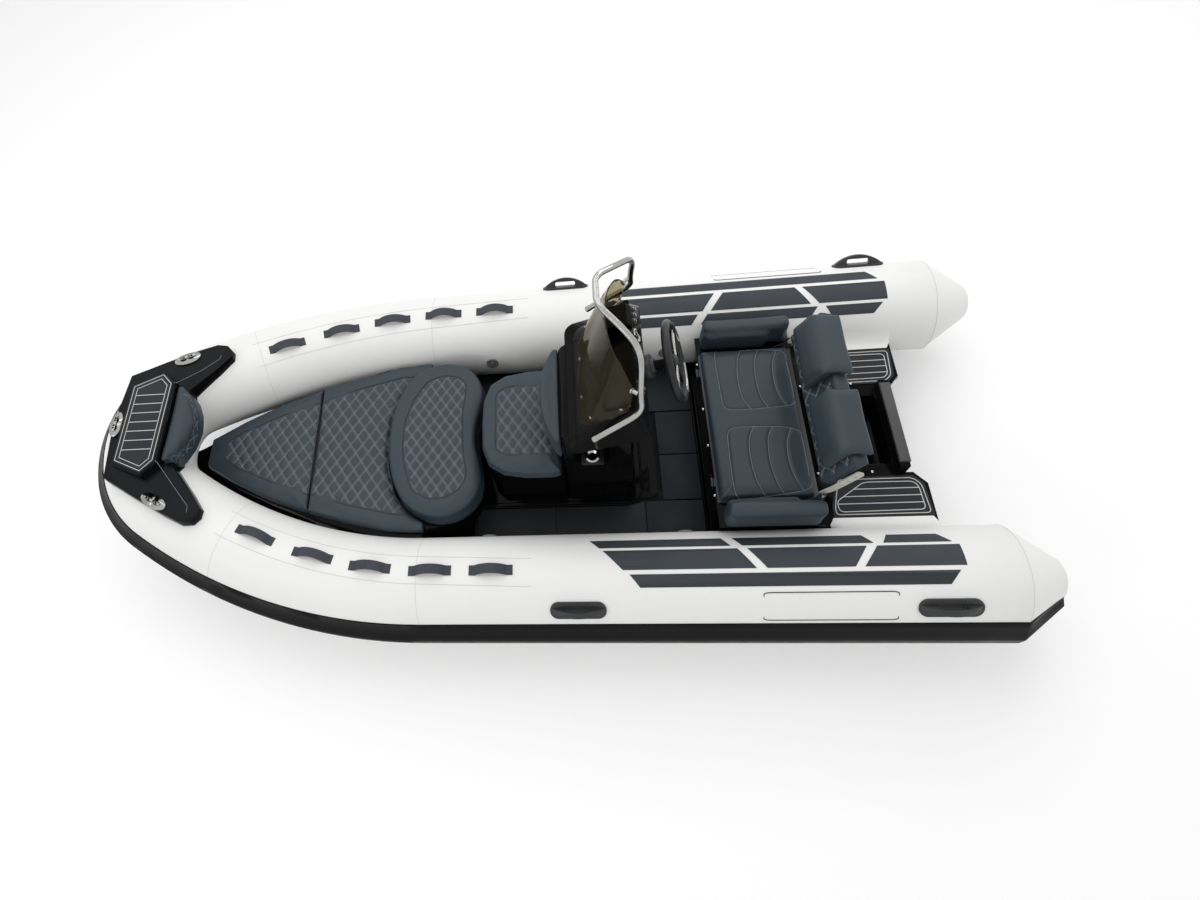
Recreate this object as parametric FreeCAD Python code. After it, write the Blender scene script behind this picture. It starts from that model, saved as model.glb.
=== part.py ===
import FreeCAD
import Part
import math
import os

os.makedirs("parts", exist_ok=True)
V = FreeCAD.Vector

# Frame: +X to the bow, +Y to port, +Z up, origin on the waterline at the mount.

# Buoyancy tube
TUBE_R = 235.0
TUBE_Y = 735.0
TUBE_Z = 300.0
STERN_SEAM_X = -2050.0
CONE_TIP_X = -2275.0
CONE_TIP_R = 68.0
GAP = 0.4

# Hull
KEEL_Z = -180.0
CHINE_Y = 640.0
CHINE_Z = 40.0
HULL_TOP_Z = 100.0
TRANSOM_X = -1760.0
TRANSOM_T = 45.0
POD_X = -1842.0
STEM_X = 2060.0
STEM_Z = 235.0
SOLE_Z = 130.0

# Seats
LOCKER_Z = 362.0
BOW_SEAT_Z = 420.0
KIDNEY_Z = 495.0
SEAT_Z = 620.0
BENCH_Z = 520.0

# Steering
WHEEL_X = -670.0
WHEEL_Z = 1090.0
WHEEL_TILT = 17.0
WHEEL_R = 165.0
RIM_R = 14.0

# Backrest
PIVOT_X = -1307.0
PIVOT_Z = 545.0
BACK_LEAN = 25.0


def box(x0, x1, y0, y1, z0, z1):
    return Part.makeBox(x1 - x0, y1 - y0, z1 - z0, V(x0, y0, z0))


def rod(r, a, b):
    a = V(*a)
    b = V(*b)
    return Part.makeCylinder(r, (b - a).Length, a, b - a)


def face_of(points):
    pts = [V(*p) for p in points]
    return Part.Face(Part.makePolygon(pts + [pts[0]]))


def plan(points, z0, z1):
    return face_of([(x, y, z0) for x, y in points]).extrude(V(0, 0, z1 - z0))


def side(points, y0, y1):
    return face_of([(x, y0, z) for x, z in points]).extrude(V(0, y1 - y0, 0))


def across(points, x0, x1):
    return face_of([(x0, y, z) for y, z in points]).extrude(V(x1 - x0, 0, 0))


def mirrored(points):
    return list(points) + [(x, -y) for x, y in reversed(points) if abs(y) > 0.01]


def flip(shape):
    return shape.mirror(V(0, 0, 0), V(0, 1, 0))


def together(shapes):
    flat = []
    for s in shapes:
        flat.extend(s.Solids)
    return flat[0] if len(flat) == 1 else Part.makeCompound(flat)


def rounded(shape, r, pick):
    edges = [e for e in shape.Edges if pick(e)]
    return shape.makeFillet(r, edges) if edges else shape


def upright(e):
    a = e.Vertexes[0].Point
    b = e.Vertexes[-1].Point
    return abs(a.x - b.x) < 0.01 and abs(a.y - b.y) < 0.01 and abs(a.z - b.z) > 1.0


def at_top(z):
    return lambda e: all(abs(v.Point.z - z) < 0.01 for v in e.Vertexes)


def spline(points, closed=False):
    c = Part.BSplineCurve()
    if closed:
        c.interpolate(Points=[V(*p) for p in points], PeriodicFlag=True)
    else:
        c.interpolate([V(*p) for p in points])
    return c


def slab(points, z0, z1):
    """Soft outlined slab: a smooth closed curve through plan points."""
    w = Part.Wire(spline([(x, y, z0) for x, y in points], True).toShape())
    return Part.Face(w).extrude(V(0, 0, z1 - z0))


parts = {}


def keep(name, shape):
    shape = together([shape])
    for s in shape.Solids:
        if not s.isValid():
            print("not valid:", name)
    parts[name] = shape
    shape.exportStep("parts/" + name + ".step")


# Tube path, port half: a straight run, a long bend inboard and up, a tight corner and
# a shallow nose arc that crosses the centreline square
BEND_X = 540.0
BEND_R = 2377.0
BEND_TURN = 34.9
BEND_RISE = 24.0
CORNER_R = 350.0
NOSE_TURN = 17.0
FORE_TURN = 25.0


def bend_frame(turn):
    t = math.radians(turn)
    a = math.radians(BEND_RISE)
    n = V(0, -math.cos(a), math.sin(a))
    p = V(BEND_X, TUBE_Y, TUBE_Z) + V(1, 0, 0) * (BEND_R * math.sin(t)) + n * (BEND_R * (1 - math.cos(t)))
    d = V(1, 0, 0) * math.cos(t) + n * math.sin(t)
    return p, d


BEND_N = V(0, -math.cos(math.radians(BEND_RISE)), math.sin(math.radians(BEND_RISE)))
BEND_C = V(BEND_X, TUBE_Y, TUBE_Z) + BEND_N * BEND_R
BEND_AXIS = V(1, 0, 0).cross(BEND_N)
corner_p, corner_d = bend_frame(BEND_TURN)
CORNER_AXIS = corner_d.cross(V(0, -1, 0))
CORNER_AXIS.normalize()
whole_turn = math.degrees(corner_d.getAngle(V(0, -1, 0)))
CORNER_TURN = whole_turn - NOSE_TURN
corner_n = CORNER_AXIS.cross(corner_d)
CORNER_C = corner_p + corner_n * CORNER_R
g = math.radians(whole_turn)
b = math.radians(NOSE_TURN)
nose_y0 = corner_p.y - CORNER_R * (math.sin(g) - math.sin(b))
NOSE_R = nose_y0 / math.sin(b)
c = math.radians(CORNER_TURN)
nose_p = corner_p + corner_d * (CORNER_R * math.sin(c)) + corner_n * (CORNER_R * (1 - math.cos(c)))
nose_d = corner_d * math.cos(c) + corner_n * math.sin(c)
NOSE_C = nose_p + CORNER_AXIS.cross(nose_d) * NOSE_R


def turned(shape, centre, axis, angle):
    out = shape.copy()
    out.rotate(centre, axis, angle)
    return out


def tube_runs(face):
    """Solids of one profile carried round the port bend, corner and nose."""
    fore = face.revolve(BEND_C, BEND_AXIS, FORE_TURN)
    at_fore = turned(face, BEND_C, BEND_AXIS, FORE_TURN)
    cheek = at_fore.revolve(BEND_C, BEND_AXIS, BEND_TURN - FORE_TURN)
    at_corner = turned(face, BEND_C, BEND_AXIS, BEND_TURN)
    corner = at_corner.revolve(CORNER_C, CORNER_AXIS, CORNER_TURN)
    at_nose = turned(at_corner, CORNER_C, CORNER_AXIS, CORNER_TURN)
    nose = at_nose.revolve(NOSE_C, CORNER_AXIS, NOSE_TURN)
    return fore, cheek, corner, nose


def disc(radius):
    return Part.Face(Part.Wire(Part.makeCircle(radius, V(BEND_X, TUBE_Y, TUBE_Z), V(1, 0, 0))))


def straight_tube(radius, tip_radius):
    run = Part.makeCylinder(radius, BEND_X - STERN_SEAM_X, V(STERN_SEAM_X, TUBE_Y, TUBE_Z), V(1, 0, 0))
    cone = Part.makeCone(tip_radius, radius, STERN_SEAM_X - CONE_TIP_X,
                         V(CONE_TIP_X, TUBE_Y, TUBE_Z), V(1, 0, 0))
    return run.fuse(cone)


aft_cutter = straight_tube(TUBE_R + GAP, CONE_TIP_R + GAP)
port_cutters = [aft_cutter] + list(tube_runs(disc(TUBE_R + GAP)))
cutters = port_cutters + [flip(t) for t in port_cutters]

aft_tube = straight_tube(TUBE_R, CONE_TIP_R)
tip_edges = [e for e in aft_tube.Edges if all(v.Point.x < CONE_TIP_X + 1 for v in e.Vertexes)]
aft_tube = aft_tube.makeFillet(40.0, tip_edges)
keep("tube_port", aft_tube)
keep("tube_starboard", flip(aft_tube))
fore_run, cheek_run, corner_run, nose_run = tube_runs(disc(TUBE_R))
keep("tube_port_fore", fore_run)
keep("tube_starboard_fore", flip(fore_run))
half_bow = cheek_run.fuse([corner_run, nose_run])
keep("tube_bow", half_bow.fuse(flip(half_bow)))

# Hull: sections from the pods to the stem, each with two spray strakes and a chine flat
KEEL_RISE_X = 500.0
CHINE_IN_X = 100.0
STEM_HALF = 60.0
STEM_CHINE_Z = 300.0
SPRAY_AT = (0.36, 0.68)
SPRAY_W = 24.0
CHINE_FLAT = 36.0


def hull_section(x):
    k = max(0.0, (x - KEEL_RISE_X) / (STEM_X - KEEL_RISE_X))
    c = max(0.0, (x - CHINE_IN_X) / (STEM_X - CHINE_IN_X))
    keel = KEEL_Z + (STEM_Z - KEEL_Z) * k ** 2.2
    half = STEM_HALF + (CHINE_Y - STEM_HALF) * (1 - c ** 2.3)
    chine = CHINE_Z + (STEM_CHINE_Z - CHINE_Z) * c ** 1.9
    shrink = half / CHINE_Y

    def bottom(y):
        return keel + (chine - keel) * y / half

    pts = [(0.0, keel)]
    for share in SPRAY_AT:
        y = half * share
        out = y + SPRAY_W * shrink
        pts += [(y, bottom(y)), (out, bottom(y)), (out, bottom(out))]
    flat = half - CHINE_FLAT * shrink
    pts += [(flat, bottom(flat)), (half, bottom(flat)), (half, chine + 90)]
    ring = pts + [(-y, z) for y, z in reversed(pts[1:])]
    return Part.makePolygon([V(x, y, z) for y, z in ring + [ring[0]]])


sections = [hull_section(x) for x in (POD_X, CHINE_IN_X, 600.0, 1000.0, 1350.0, 1650.0, 1880.0, STEM_X)]
hull_body = Part.makeLoft(sections, True, True)
HULL_LINE = [(-2200, HULL_TOP_Z), (1150, HULL_TOP_Z), (2200, 290)]
above_hull = side(HULL_LINE + [(2200, 900), (-2200, 900)], -900, 900)
WELL_Y = 232.0
NOTCH = [(POD_X - 60, -350), (POD_X, -290), (POD_X + 52, -WELL_Y), (TRANSOM_X, -WELL_Y),
         (TRANSOM_X, WELL_Y), (POD_X + 52, WELL_Y), (POD_X, 290), (POD_X - 60, 350)]
hull_body = hull_body.cut([above_hull, plan(NOTCH, -400, 200)])
keep("hull", hull_body.cut(cutters))

# Deck: sole and bow locker, with the raised rim round the console
LOCKER_X = 300.0
locker_plan = mirrored([(1800, 0), (1800, 90), (1604, 205), (1393, 300), (1171, 385),
                        (953, 450), (667, 530), (LOCKER_X + 260, 600),
                        (LOCKER_X + 260, 470), (LOCKER_X + 90, 430), (LOCKER_X, 300), (LOCKER_X, 0)])
sole = box(-1330, 1150, -600, 600, HULL_TOP_Z, SOLE_Z)
locker = plan(locker_plan, HULL_TOP_Z, LOCKER_Z)
under = side([(-2200, 0), (1150, HULL_TOP_Z), (2200, 290), (2200, -100), (-2200, -100)], -900, 900)
rim = box(-640, 300, -250, 250, SOLE_Z - 5, SOLE_Z + 14)
rim = rounded(rim, 60, upright)
deck = sole.fuse([locker, rim])
deck = deck.cut([under] + cutters)
keep("deck", deck.removeSplitter())

# Stern moulding: side platforms with the splash well between them
PLAT_Z = 338.0
TRANSOM_TOP_Z = 408.0
CAP_T = 14.0
WELL_X0 = -1712.0
WELL_X1 = -1590.0
WELL_HALF = 185.0
WELL_Z = 190.0
REAR_X = -1335.0
stern = plan(mirrored([(REAR_X + 5, 0), (REAR_X + 5, 600), (POD_X, 600), (POD_X, 0)]), HULL_TOP_Z, PLAT_Z)
transom_top = box(TRANSOM_X, TRANSOM_X + TRANSOM_T, -WELL_Y, WELL_Y, HULL_TOP_Z, TRANSOM_TOP_Z)
well = rounded(box(WELL_X0, WELL_X1, -WELL_HALF, WELL_HALF, WELL_Z, 500), 25, upright)
rear_deck = box(WELL_X1, REAR_X, -WELL_Y, WELL_Y, PLAT_Z, 372)
stern = stern.fuse([transom_top, rear_deck]).cut([well, plan(NOTCH, 0, 500)] + cutters)
keep("stern_deck", stern.removeSplitter())
cap = box(TRANSOM_X - 3, TRANSOM_X + TRANSOM_T + 3, -212, 212, TRANSOM_TOP_Z, TRANSOM_TOP_Z + CAP_T)
keep("transom_cap", rounded(cap, 6, at_top(TRANSOM_TOP_Z + CAP_T)))

# Rubbing strake, bonded outside the tube: a thin upper flap and a deep fender bead
STRAKE_TOP = 63.0
STRAKE_LOW = 106.0
STRAKE_OUT = 34.0
STRAKE_FLAP = 4.0
BEAD_TOP = 84.0
BEAD_LOW = 97.0


def ring_point(x, r, degrees):
    a = math.radians(degrees)
    return V(x, TUBE_Y + r * math.sin(a), TUBE_Z + r * math.cos(a))


def strake_profile(x, inner):
    out = inner + STRAKE_OUT
    mid = (STRAKE_TOP + STRAKE_LOW) / 2
    inside = Part.Arc(ring_point(x, inner, STRAKE_TOP), ring_point(x, inner, mid),
                      ring_point(x, inner, STRAKE_LOW)).toShape()
    corners = [ring_point(x, inner, STRAKE_LOW), ring_point(x, inner + 10, STRAKE_LOW - 1),
               ring_point(x, out - 6, BEAD_LOW + 2), ring_point(x, out, BEAD_LOW),
               ring_point(x, out, BEAD_TOP), ring_point(x, out - 10, BEAD_TOP - 4),
               ring_point(x, inner + 7, BEAD_TOP - 12), ring_point(x, inner + STRAKE_FLAP, STRAKE_TOP + 1),
               ring_point(x, inner, STRAKE_TOP)]
    edges = [Part.makeLine(a, b) for a, b in zip(corners, corners[1:])]
    return Part.Wire([inside] + edges)


strake_inner = TUBE_R + GAP
strake_face = Part.Face(strake_profile(BEND_X, strake_inner))
strake_runs = list(tube_runs(strake_face))
strake_runs.append(strake_face.extrude(V(STERN_SEAM_X - BEND_X, 0, 0)))
STRAKE_TIP = 30.0
tip_share = STRAKE_TIP / (STERN_SEAM_X - CONE_TIP_X)
tip_inner = CONE_TIP_R + GAP + (TUBE_R - CONE_TIP_R) * tip_share
cone_strake = Part.makeLoft([strake_profile(STERN_SEAM_X, strake_inner),
                             strake_profile(CONE_TIP_X + STRAKE_TIP, tip_inner)], True, True)
strake_half = strake_runs[0].fuse(strake_runs[1:] + [cone_strake])
keep("rubbing_strake", strake_half.fuse(flip(strake_half)).removeSplitter())

# Grey grip patches on the tube tops
PATCH_T = 1.6


def grip(points):
    band = Part.makeCylinder(TUBE_R + GAP + PATCH_T, 2600, V(-2050, TUBE_Y, TUBE_Z), V(1, 0, 0))
    band = band.cut(Part.makeCylinder(TUBE_R + GAP, 2600, V(-2050, TUBE_Y, TUBE_Z), V(1, 0, 0)))
    pts = [(x, TUBE_Y + TUBE_R * math.sin(math.radians(a))) for x, a in points]
    return band.common(plan(pts, TUBE_Z + 20, 900))


ROWS = [
    [(-270, -40.5), (-312, -27.5), (-891, -27.5), (-856, -40.5)],
    [(-905, -40.5), (-940, -27.5), (-1485, -27.5), (-1450, -40.5)],
    [(-1552, -40.5), (-1524, -27.5), (-1796, -27.5), (-1752, -40.5)],
    [(-327, -23.5), (-411, 0.5), (-982, 0.5), (-916, -23.5)],
    [(-958, -23.5), (-1027, 0.5), (-1384, 0.5), (-1452, -23.5)],
    [(-1494, -23.5), (-1422, 0.5), (-1818, 0.5), (-1819, -23.5)],
    [(-439, 5.5), (-482, 19.5), (-1743, 19.5), (-1789, 5.5)],
]
grips = [grip(r) for r in ROWS]
keep("grip_patches_port", together(grips))
keep("grip_patches_starboard", together([flip(g) for g in grips]))

# Strap handles: five webbing loops a side on the fore tubes, set out by station and by
# the angle from the tube's top line
STRAPS = [(186.0, -1.7), (474.0, -2.2), (776.0, -4.9), (1080.0, -8.7), (1396.0, -12.8)]
STRAP_LEN = 204.0
STRAP_W = 47.0
STRAP_T = 4.0
STRAP_ARCH = 37.0
STRAP_FOOT = 26.0


def tube_at(x):
    """Point and direction of the tube's path at x."""
    if x <= BEND_X:
        return V(x, TUBE_Y, TUBE_Z), V(1, 0, 0)
    return bend_frame(math.degrees(math.asin((x - BEND_X) / BEND_R)))


def tube_place(x, phi, lift):
    p, d = tube_at(x)
    up = V(0, 0, 1) - d * d.z
    up.normalize()
    out = up.cross(d)
    a = math.radians(phi)
    radial = up * math.cos(a) + out * math.sin(a)
    across_dir = radial.cross(d)
    m = FreeCAD.Matrix(d.x, across_dir.x, radial.x, 0, d.y, across_dir.y, radial.y, 0,
                       d.z, across_dir.z, radial.z, 0, 0, 0, 0, 1)
    base = p + radial * (TUBE_R + lift)
    return FreeCAD.Placement(base, FreeCAD.Rotation(m))


def strap(x, phi):
    h = STRAP_LEN / 2
    f = h - STRAP_FOOT
    w = -STRAP_W / 2
    top = Part.Arc(V(-f, w, 4.5), V(0, w, STRAP_ARCH), V(f, w, 4.5)).toShape()
    under = Part.Arc(V(f - 4, w, 0.5), V(0, w, STRAP_ARCH - STRAP_T), V(4 - f, w, 0.5)).toShape()
    right = [(f, 4.5), (h, 3.5), (h, -7), (f - 4, -7), (f - 4, 0.5)]
    left = [(4 - f, 0.5), (4 - f, -7), (-h, -7), (-h, 3.5), (-f, 4.5)]
    edges = [top, under]
    for run in (right, left):
        edges += [Part.makeLine(V(a[0], w, a[1]), V(b[0], w, b[1])) for a, b in zip(run, run[1:])]
    s = Part.Face(Part.Wire(Part.__sortEdges__(edges))).extrude(V(0, STRAP_W, 0))
    s.Placement = tube_place(x, phi, GAP)
    reach = tube_at(x)[1].x * h
    a = tube_at(x - reach)[0]
    b = tube_at(x + reach)[0]
    chord = b - a
    seat = Part.makeCylinder(TUBE_R + GAP, chord.Length * 1.4, a - chord * 0.2, chord)
    return max(s.cut(seat).Solids, key=lambda q: q.Volume)


straps = [strap(x, phi) for x, phi in STRAPS]
keep("strap_handles_port", together(straps))
keep("strap_handles_starboard", together([flip(s) for s in straps]))

# Moulded carrying handles on the tube sides
HANDLE_PHI = 43.5
HANDLE_X = [-205.0, -1738.0]


HANDLE_LEN = 250.0
HANDLE_RISE = 56.0
HANDLE_W = 26.0
GRIP_HALF = 55.0


def side_handle(x):
    h = HANDLE_LEN / 2
    base = rounded(box(-h, h, -40, 40, -12, 8), 38, upright)
    w = -HANDLE_W / 2
    bow = Part.Arc(V(-h + 8, w, 7), V(0, w, HANDLE_RISE), V(h - 8, w, 7)).toShape()
    arch = Part.Face(Part.Wire([bow, Part.makeLine(V(h - 8, w, 7), V(-h + 8, w, 7))]))
    arch = arch.extrude(V(0, HANDLE_W, 0))
    slot = rounded(box(-GRIP_HALF, GRIP_HALF, -60, 60, 8, HANDLE_RISE - 20), 10,
                   lambda e: abs(e.Vertexes[0].Point.y - e.Vertexes[-1].Point.y) > 50)
    hd = base.fuse(arch).cut(slot).removeSplitter()
    hd.rotate(V(0, 0, 0), V(1, 0, 0), -HANDLE_PHI)
    a = math.radians(HANDLE_PHI)
    hd.translate(V(x, TUBE_Y + (TUBE_R + 1) * math.sin(a), TUBE_Z + (TUBE_R + 1) * math.cos(a)))
    hd = hd.cut(aft_cutter)
    return max(hd.Solids, key=lambda s: s.Volume)


handles = [side_handle(x) for x in HANDLE_X]
keep("side_handles_port", together(handles))
keep("side_handles_starboard", together([flip(h) for h in handles]))

# Bow step: glossy moulding saddled over the nose, with a raised step
STEP_RISE = 10.35
STEP_LOW = mirrored([(2164, 0), (2136, 309), (1961, 410), (1801, 490), (1706, 526), (1648, 520),
                     (1614, 484), (1612, 436), (1674, 352), (1792, 216), (1792, 0)])
STEP_TOP = mirrored([(2138, 0), (2112, 290), (1944, 374), (1788, 450), (1696, 492), (1646, 490),
                     (1626, 468), (1624, 442), (1684, 364), (1800, 226), (1800, 0)])
STEP_LOW_Z = 560.0
STEP_TOP_Z = 900.0
DECK_RISE = 146.1 / 800


def step_deck(x):
    """Height of the step moulding's sloping deck at x."""
    return 668.8 + (x - 1500) * DECK_RISE


step = Part.makeLoft([Part.makePolygon([V(x, y, STEP_LOW_Z) for x, y in STEP_LOW + STEP_LOW[:1]]),
                      Part.makePolygon([V(x, y, STEP_TOP_Z) for x, y in STEP_TOP + STEP_TOP[:1]])],
                     True, True)
top_cut = side([(1500, step_deck(1500)), (2300, step_deck(2300)), (2300, 1000), (1500, 1000)], -700, 700)
low_cut = side([(1500, 560), (1500, 585), (1900, 625), (2300, 700), (2300, 560)], -700, 700)
step = step.cut([top_cut, low_cut])
RAISED_Z = 800.0
raised_plan = mirrored([(2094, 0), (2092, 232), (1915, 303), (1836, 228), (1836, 0)])
raised = plan(raised_plan, 690, RAISED_Z)
raised = raised.makeChamfer(6, [e for e in raised.Edges if at_top(RAISED_Z)(e)])
step = step.fuse(raised).cut(cutters)
step = max(step.Solids, key=lambda s: s.Volume)
keep("bow_step", step)
pad_plan = mirrored([(2078, 0), (2076, 219), (1913, 287), (1850, 223), (1850, 0)])
keep("bow_step_pad", plan(pad_plan, RAISED_Z, RAISED_Z + 6))


def cleat(x, y, z, turn, pitch):
    plate = Part.makeCylinder(34, 6, V(0, 0, 0))
    m = FreeCAD.Matrix()
    m.scale(2.1, 1.0, 1.0)
    plate = plate.transformGeometry(m)
    horn = rod(7, (-45, 0, 16), (45, 0, 16))
    post = Part.makeCylinder(7, 16, V(-18, 0, 2)).fuse(Part.makeCylinder(7, 16, V(18, 0, 2)))
    c = plate.fuse([horn, post])
    c.rotate(V(0, 0, 0), V(0, 1, 0), pitch)
    c.rotate(V(0, 0, 0), V(0, 0, 1), turn)
    c.translate(V(x, y, z))
    return c


CLEAT_X = 1844.0
CLEAT_Y = 414.0
NOSE_CLEAT_X = 2126.0
side_cleat = cleat(CLEAT_X, CLEAT_Y, step_deck(CLEAT_X) + 1.5, -26, -9).cut(step)
side_cleat = max(side_cleat.Solids, key=lambda q: q.Volume)
nose_cleat = cleat(NOSE_CLEAT_X, 0, step_deck(NOSE_CLEAT_X) + 3, 90, 0).cut(step)
nose_cleat = max(nose_cleat.Solids, key=lambda q: q.Volume)
keep("bow_cleats", together([side_cleat, flip(side_cleat), nose_cleat]))

rest_plan = mirrored([(1828, 0), (1828, 214), (1802, 214), (1762, 172), (1724, 94), (1708, 0)])
rest = plan(rest_plan, 640, 792).cut([low_cut, step] + cutters)
rest = max(rest.Solids, key=lambda s: s.Volume)
rest = rest.cut(side([(1620, 700), (1738, 775), (1776, 900), (1620, 900)], -300, 300))
keep("bow_backrest", rest)

# Bow cushions
SPLIT_X = 1172.0
near_edge = [(1800, 0), (1800, 85), (1604, 198), (1393, 297), (1171, 372), (953, 434), (735, 482),
             (600, 488), (548, 488)]
fore_half = [p for p in near_edge if p[0] > SPLIT_X] + [(SPLIT_X + 1.5, 372), (SPLIT_X + 1.5, 0)]
fore_cushion = plan(mirrored(fore_half), LOCKER_Z, BOW_SEAT_Z)
keep("bow_cushion_fore", rounded(fore_cushion, 14, at_top(BOW_SEAT_Z)).cut(cutters))

kidney_half = [(755, 0), (742, 150), (700, 285), (628, 385), (536, 437), (440, 450), (352, 425),
               (284, 370), (250, 305), (240, 220), (254, 130), (270, 60), (274, 0)]
kidney = slab([(x, -y) for x, y in kidney_half[1:-1]][::-1] + kidney_half[:-1] + [kidney_half[-1]],
              LOCKER_Z, KIDNEY_Z)
kidney_room = slab([(512 + (x - 512) * 1.008, y * 1.008) for x, y in
                    [(x, -y) for x, y in kidney_half[1:-1]][::-1] + kidney_half], 300, 600)
aft_half = [(SPLIT_X - 1.5, 0), (SPLIT_X - 1.5, 372)] + [p for p in near_edge if p[0] < 1171] + [(548, 0)]
aft_cushion = plan(mirrored(aft_half), LOCKER_Z, BOW_SEAT_Z).cut(kidney_room)
aft_cushion = max(aft_cushion.Solids, key=lambda s: s.Volume)
keep("bow_cushion_aft", max(aft_cushion.cut(cutters).Solids, key=lambda s: s.Volume))
keep("kidney_cushion", rounded(kidney, 22, at_top(KIDNEY_Z)))

# Console seat: box, hinged lid and cushion
BOX_X0 = -165.0
BOX_X1 = 205.0
seat_box = plan(mirrored([(BOX_X1, 0), (BOX_X1, 190), (BOX_X1 - 50, 240), (BOX_X0, 240), (BOX_X0, 0)]),
                SOLE_Z + 14, 540)
seat_well = box(BOX_X0 + 25, BOX_X1 - 25, -205, 205, 170, 600)
seat_box = seat_box.cut(seat_well)
LID_HINGE_X = 212.0
LID_HINGE_Z = 548.0
lid = plan(mirrored([(BOX_X1 - 4, 0), (BOX_X1 - 4, 190), (BOX_X1 - 54, 238), (-158, 238), (-158, 0)]),
           541, 556)


def hinge_pair(x, z, root_x, y, out):
    """Leaf, knuckle and pin halves of a butt hinge; the pin half stays on the box."""
    turning = rod(7, (x, y - 22, z), (x, y + 22, z))
    turning = turning.fuse(box(min(x, root_x), max(x, root_x), y - 22, y + 22, z - 3, z + 3))
    turning = turning.cut(rod(3.28, (x, y - 30, z), (x, y + 30, z)))
    fixed = rod(3.2, (x, y - 38, z), (x, y + 38, z))
    for s in (-1, 1):
        k = rod(7, (x, y + s * 23, z), (x, y + s * 38, z))
        k = k.fuse(box(min(x, out), max(x, out), min(y + s * 23, y + s * 38), max(y + s * 23, y + s * 38),
                       z - 30, z))
        fixed = fixed.fuse(k)
    return turning, fixed


lid_moving = []
lid_fixed = []
for y in (-120, 120):
    a, b = hinge_pair(LID_HINGE_X, LID_HINGE_Z, BOX_X1 - 12, y, BOX_X1)
    lid_moving.append(a)
    lid_fixed.append(b)
lid = lid.fuse([m.cut(seat_box) for m in lid_moving])
keep("console_seat_lid", lid.removeSplitter())
seat_box = seat_box.fuse([f.cut(lid) for f in lid_fixed]).removeSplitter()
keep("console_seat_box", seat_box)
seat_half = [(242, 0), (236, 130), (200, 225), (120, 276), (0, 296), (-120, 296), (-160, 285), (-160, 0)]
seat = plan(mirrored(seat_half), 556, SEAT_Z)
seat_sides = rounded(seat, 20, at_top(SEAT_Z))
keep("console_seat_cushion", seat_sides)
PEDESTAL_X = -168.0
SWING_R = math.hypot(LID_HINGE_X - BOX_X0, SEAT_Z - LID_HINGE_Z) + 6
bolster_half = [(-72, 0), (-78, 80), (-96, 155), (-122, 215), (-142, 245),
                (PEDESTAL_X + 0.3, 245), (PEDESTAL_X + 0.3, 0)]
bolster = rounded(plan(mirrored(bolster_half), 684, 880), 9, at_top(880))
swing = Part.makeCylinder(SWING_R, 700, V(LID_HINGE_X, -350, LID_HINGE_Z), V(0, 1, 0))
keep("console_bolster", bolster.cut(swing))

# Console: pedestal with the filler pocket, and the flared cowl on top
PEDESTAL_Y = 240.0
pedestal = side([(PEDESTAL_X, SOLE_Z + 14), (PEDESTAL_X, 870), (-205, 905), (-480, 975), (-500, 560),
                 (-520, SOLE_Z + 14)], -PEDESTAL_Y, PEDESTAL_Y)
pedestal = pedestal.makeFillet(22, [e for e in pedestal.Edges
                                    if abs(e.Vertexes[0].Point.z - e.Vertexes[-1].Point.z) > 300])
POCKET_Z = 600.0
pocket = box(-385, -225, 150, 300, POCKET_Z, 860)
pedestal = pedestal.cut(pocket)
keep("console_base", pedestal)


def tilted_ring(front, aft, half, r_front, r_aft):
    """Rounded rectangle on a plane that climbs from its front edge to its aft edge."""
    run = V(aft[0] - front[0], 0, aft[1] - front[1])
    length = run.Length
    run.normalize()
    start = V(front[0], 0, front[1])

    def spot(u, v):
        return start + run * u + V(0, v, 0)

    edges = []
    last = None
    corners = [(length - r_aft, half - r_aft, r_aft, 0), (r_front, half - r_front, r_front, 90),
               (r_front, r_front - half, r_front, 180), (length - r_aft, r_aft - half, r_aft, 270)]
    for cu, cv, r, a0 in corners:
        arc = [spot(cu + r * math.cos(math.radians(a0 + t)), cv + r * math.sin(math.radians(a0 + t)))
               for t in (0, 45, 90)]
        if last:
            edges.append(Part.makeLine(last, arc[0]))
        edges.append(Part.Arc(*arc).toShape())
        last = arc[2]
    edges.append(Part.makeLine(last, edges[0].Vertexes[0].Point))
    return Part.Wire(edges)


COWL_Y = 337.0
cowl_body = Part.makeLoft([tilted_ring((-211, 879), (-556, 970), 300, 45, 25),
                           tilted_ring((-203, 915), (-548, 1047), COWL_Y, 50, 22),
                           tilted_ring((-243, 932), (-502, 1138), 292, 55, 25),
                           tilted_ring((-300, 1000), (-492, 1215), 258, 60, 25)], True, True)
cowl = cowl_body.cut(pedestal)
keep("console_cowl", cowl)

# Smoked windscreen, wrapped round the front of the cowl
SCREEN_T = 5.0


def screen_wire(z, front, corner, end):
    cx, cy = corner
    ex, ey = end
    outer = [(ex, ey, z), ((ex + cx) / 2 + 4, (ey + cy) / 2 + 8, z), (cx, cy, z),
             (front - 8, cy * 0.55, z), (front, 0, z), (front - 8, -cy * 0.55, z), (cx, -cy, z),
             ((ex + cx) / 2 + 4, -(ey + cy) / 2 - 8, z), (ex, -ey, z)]
    inner = []
    for x, y, h in outer:
        on_side = abs(y) > cy * 0.9
        dx = SCREEN_T * (0.4 if on_side else 1.0)
        dy = math.copysign(SCREEN_T * (1.0 if on_side else 0.3), y) if abs(y) > 1 else 0
        inner.append((x - dx, y - dy, h))
    return Part.Wire([spline(outer).toShape(), Part.makeLine(V(*outer[-1]), V(*inner[-1])),
                      spline(inner).toShape(), Part.makeLine(V(*inner[0]), V(*outer[0]))])


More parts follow.
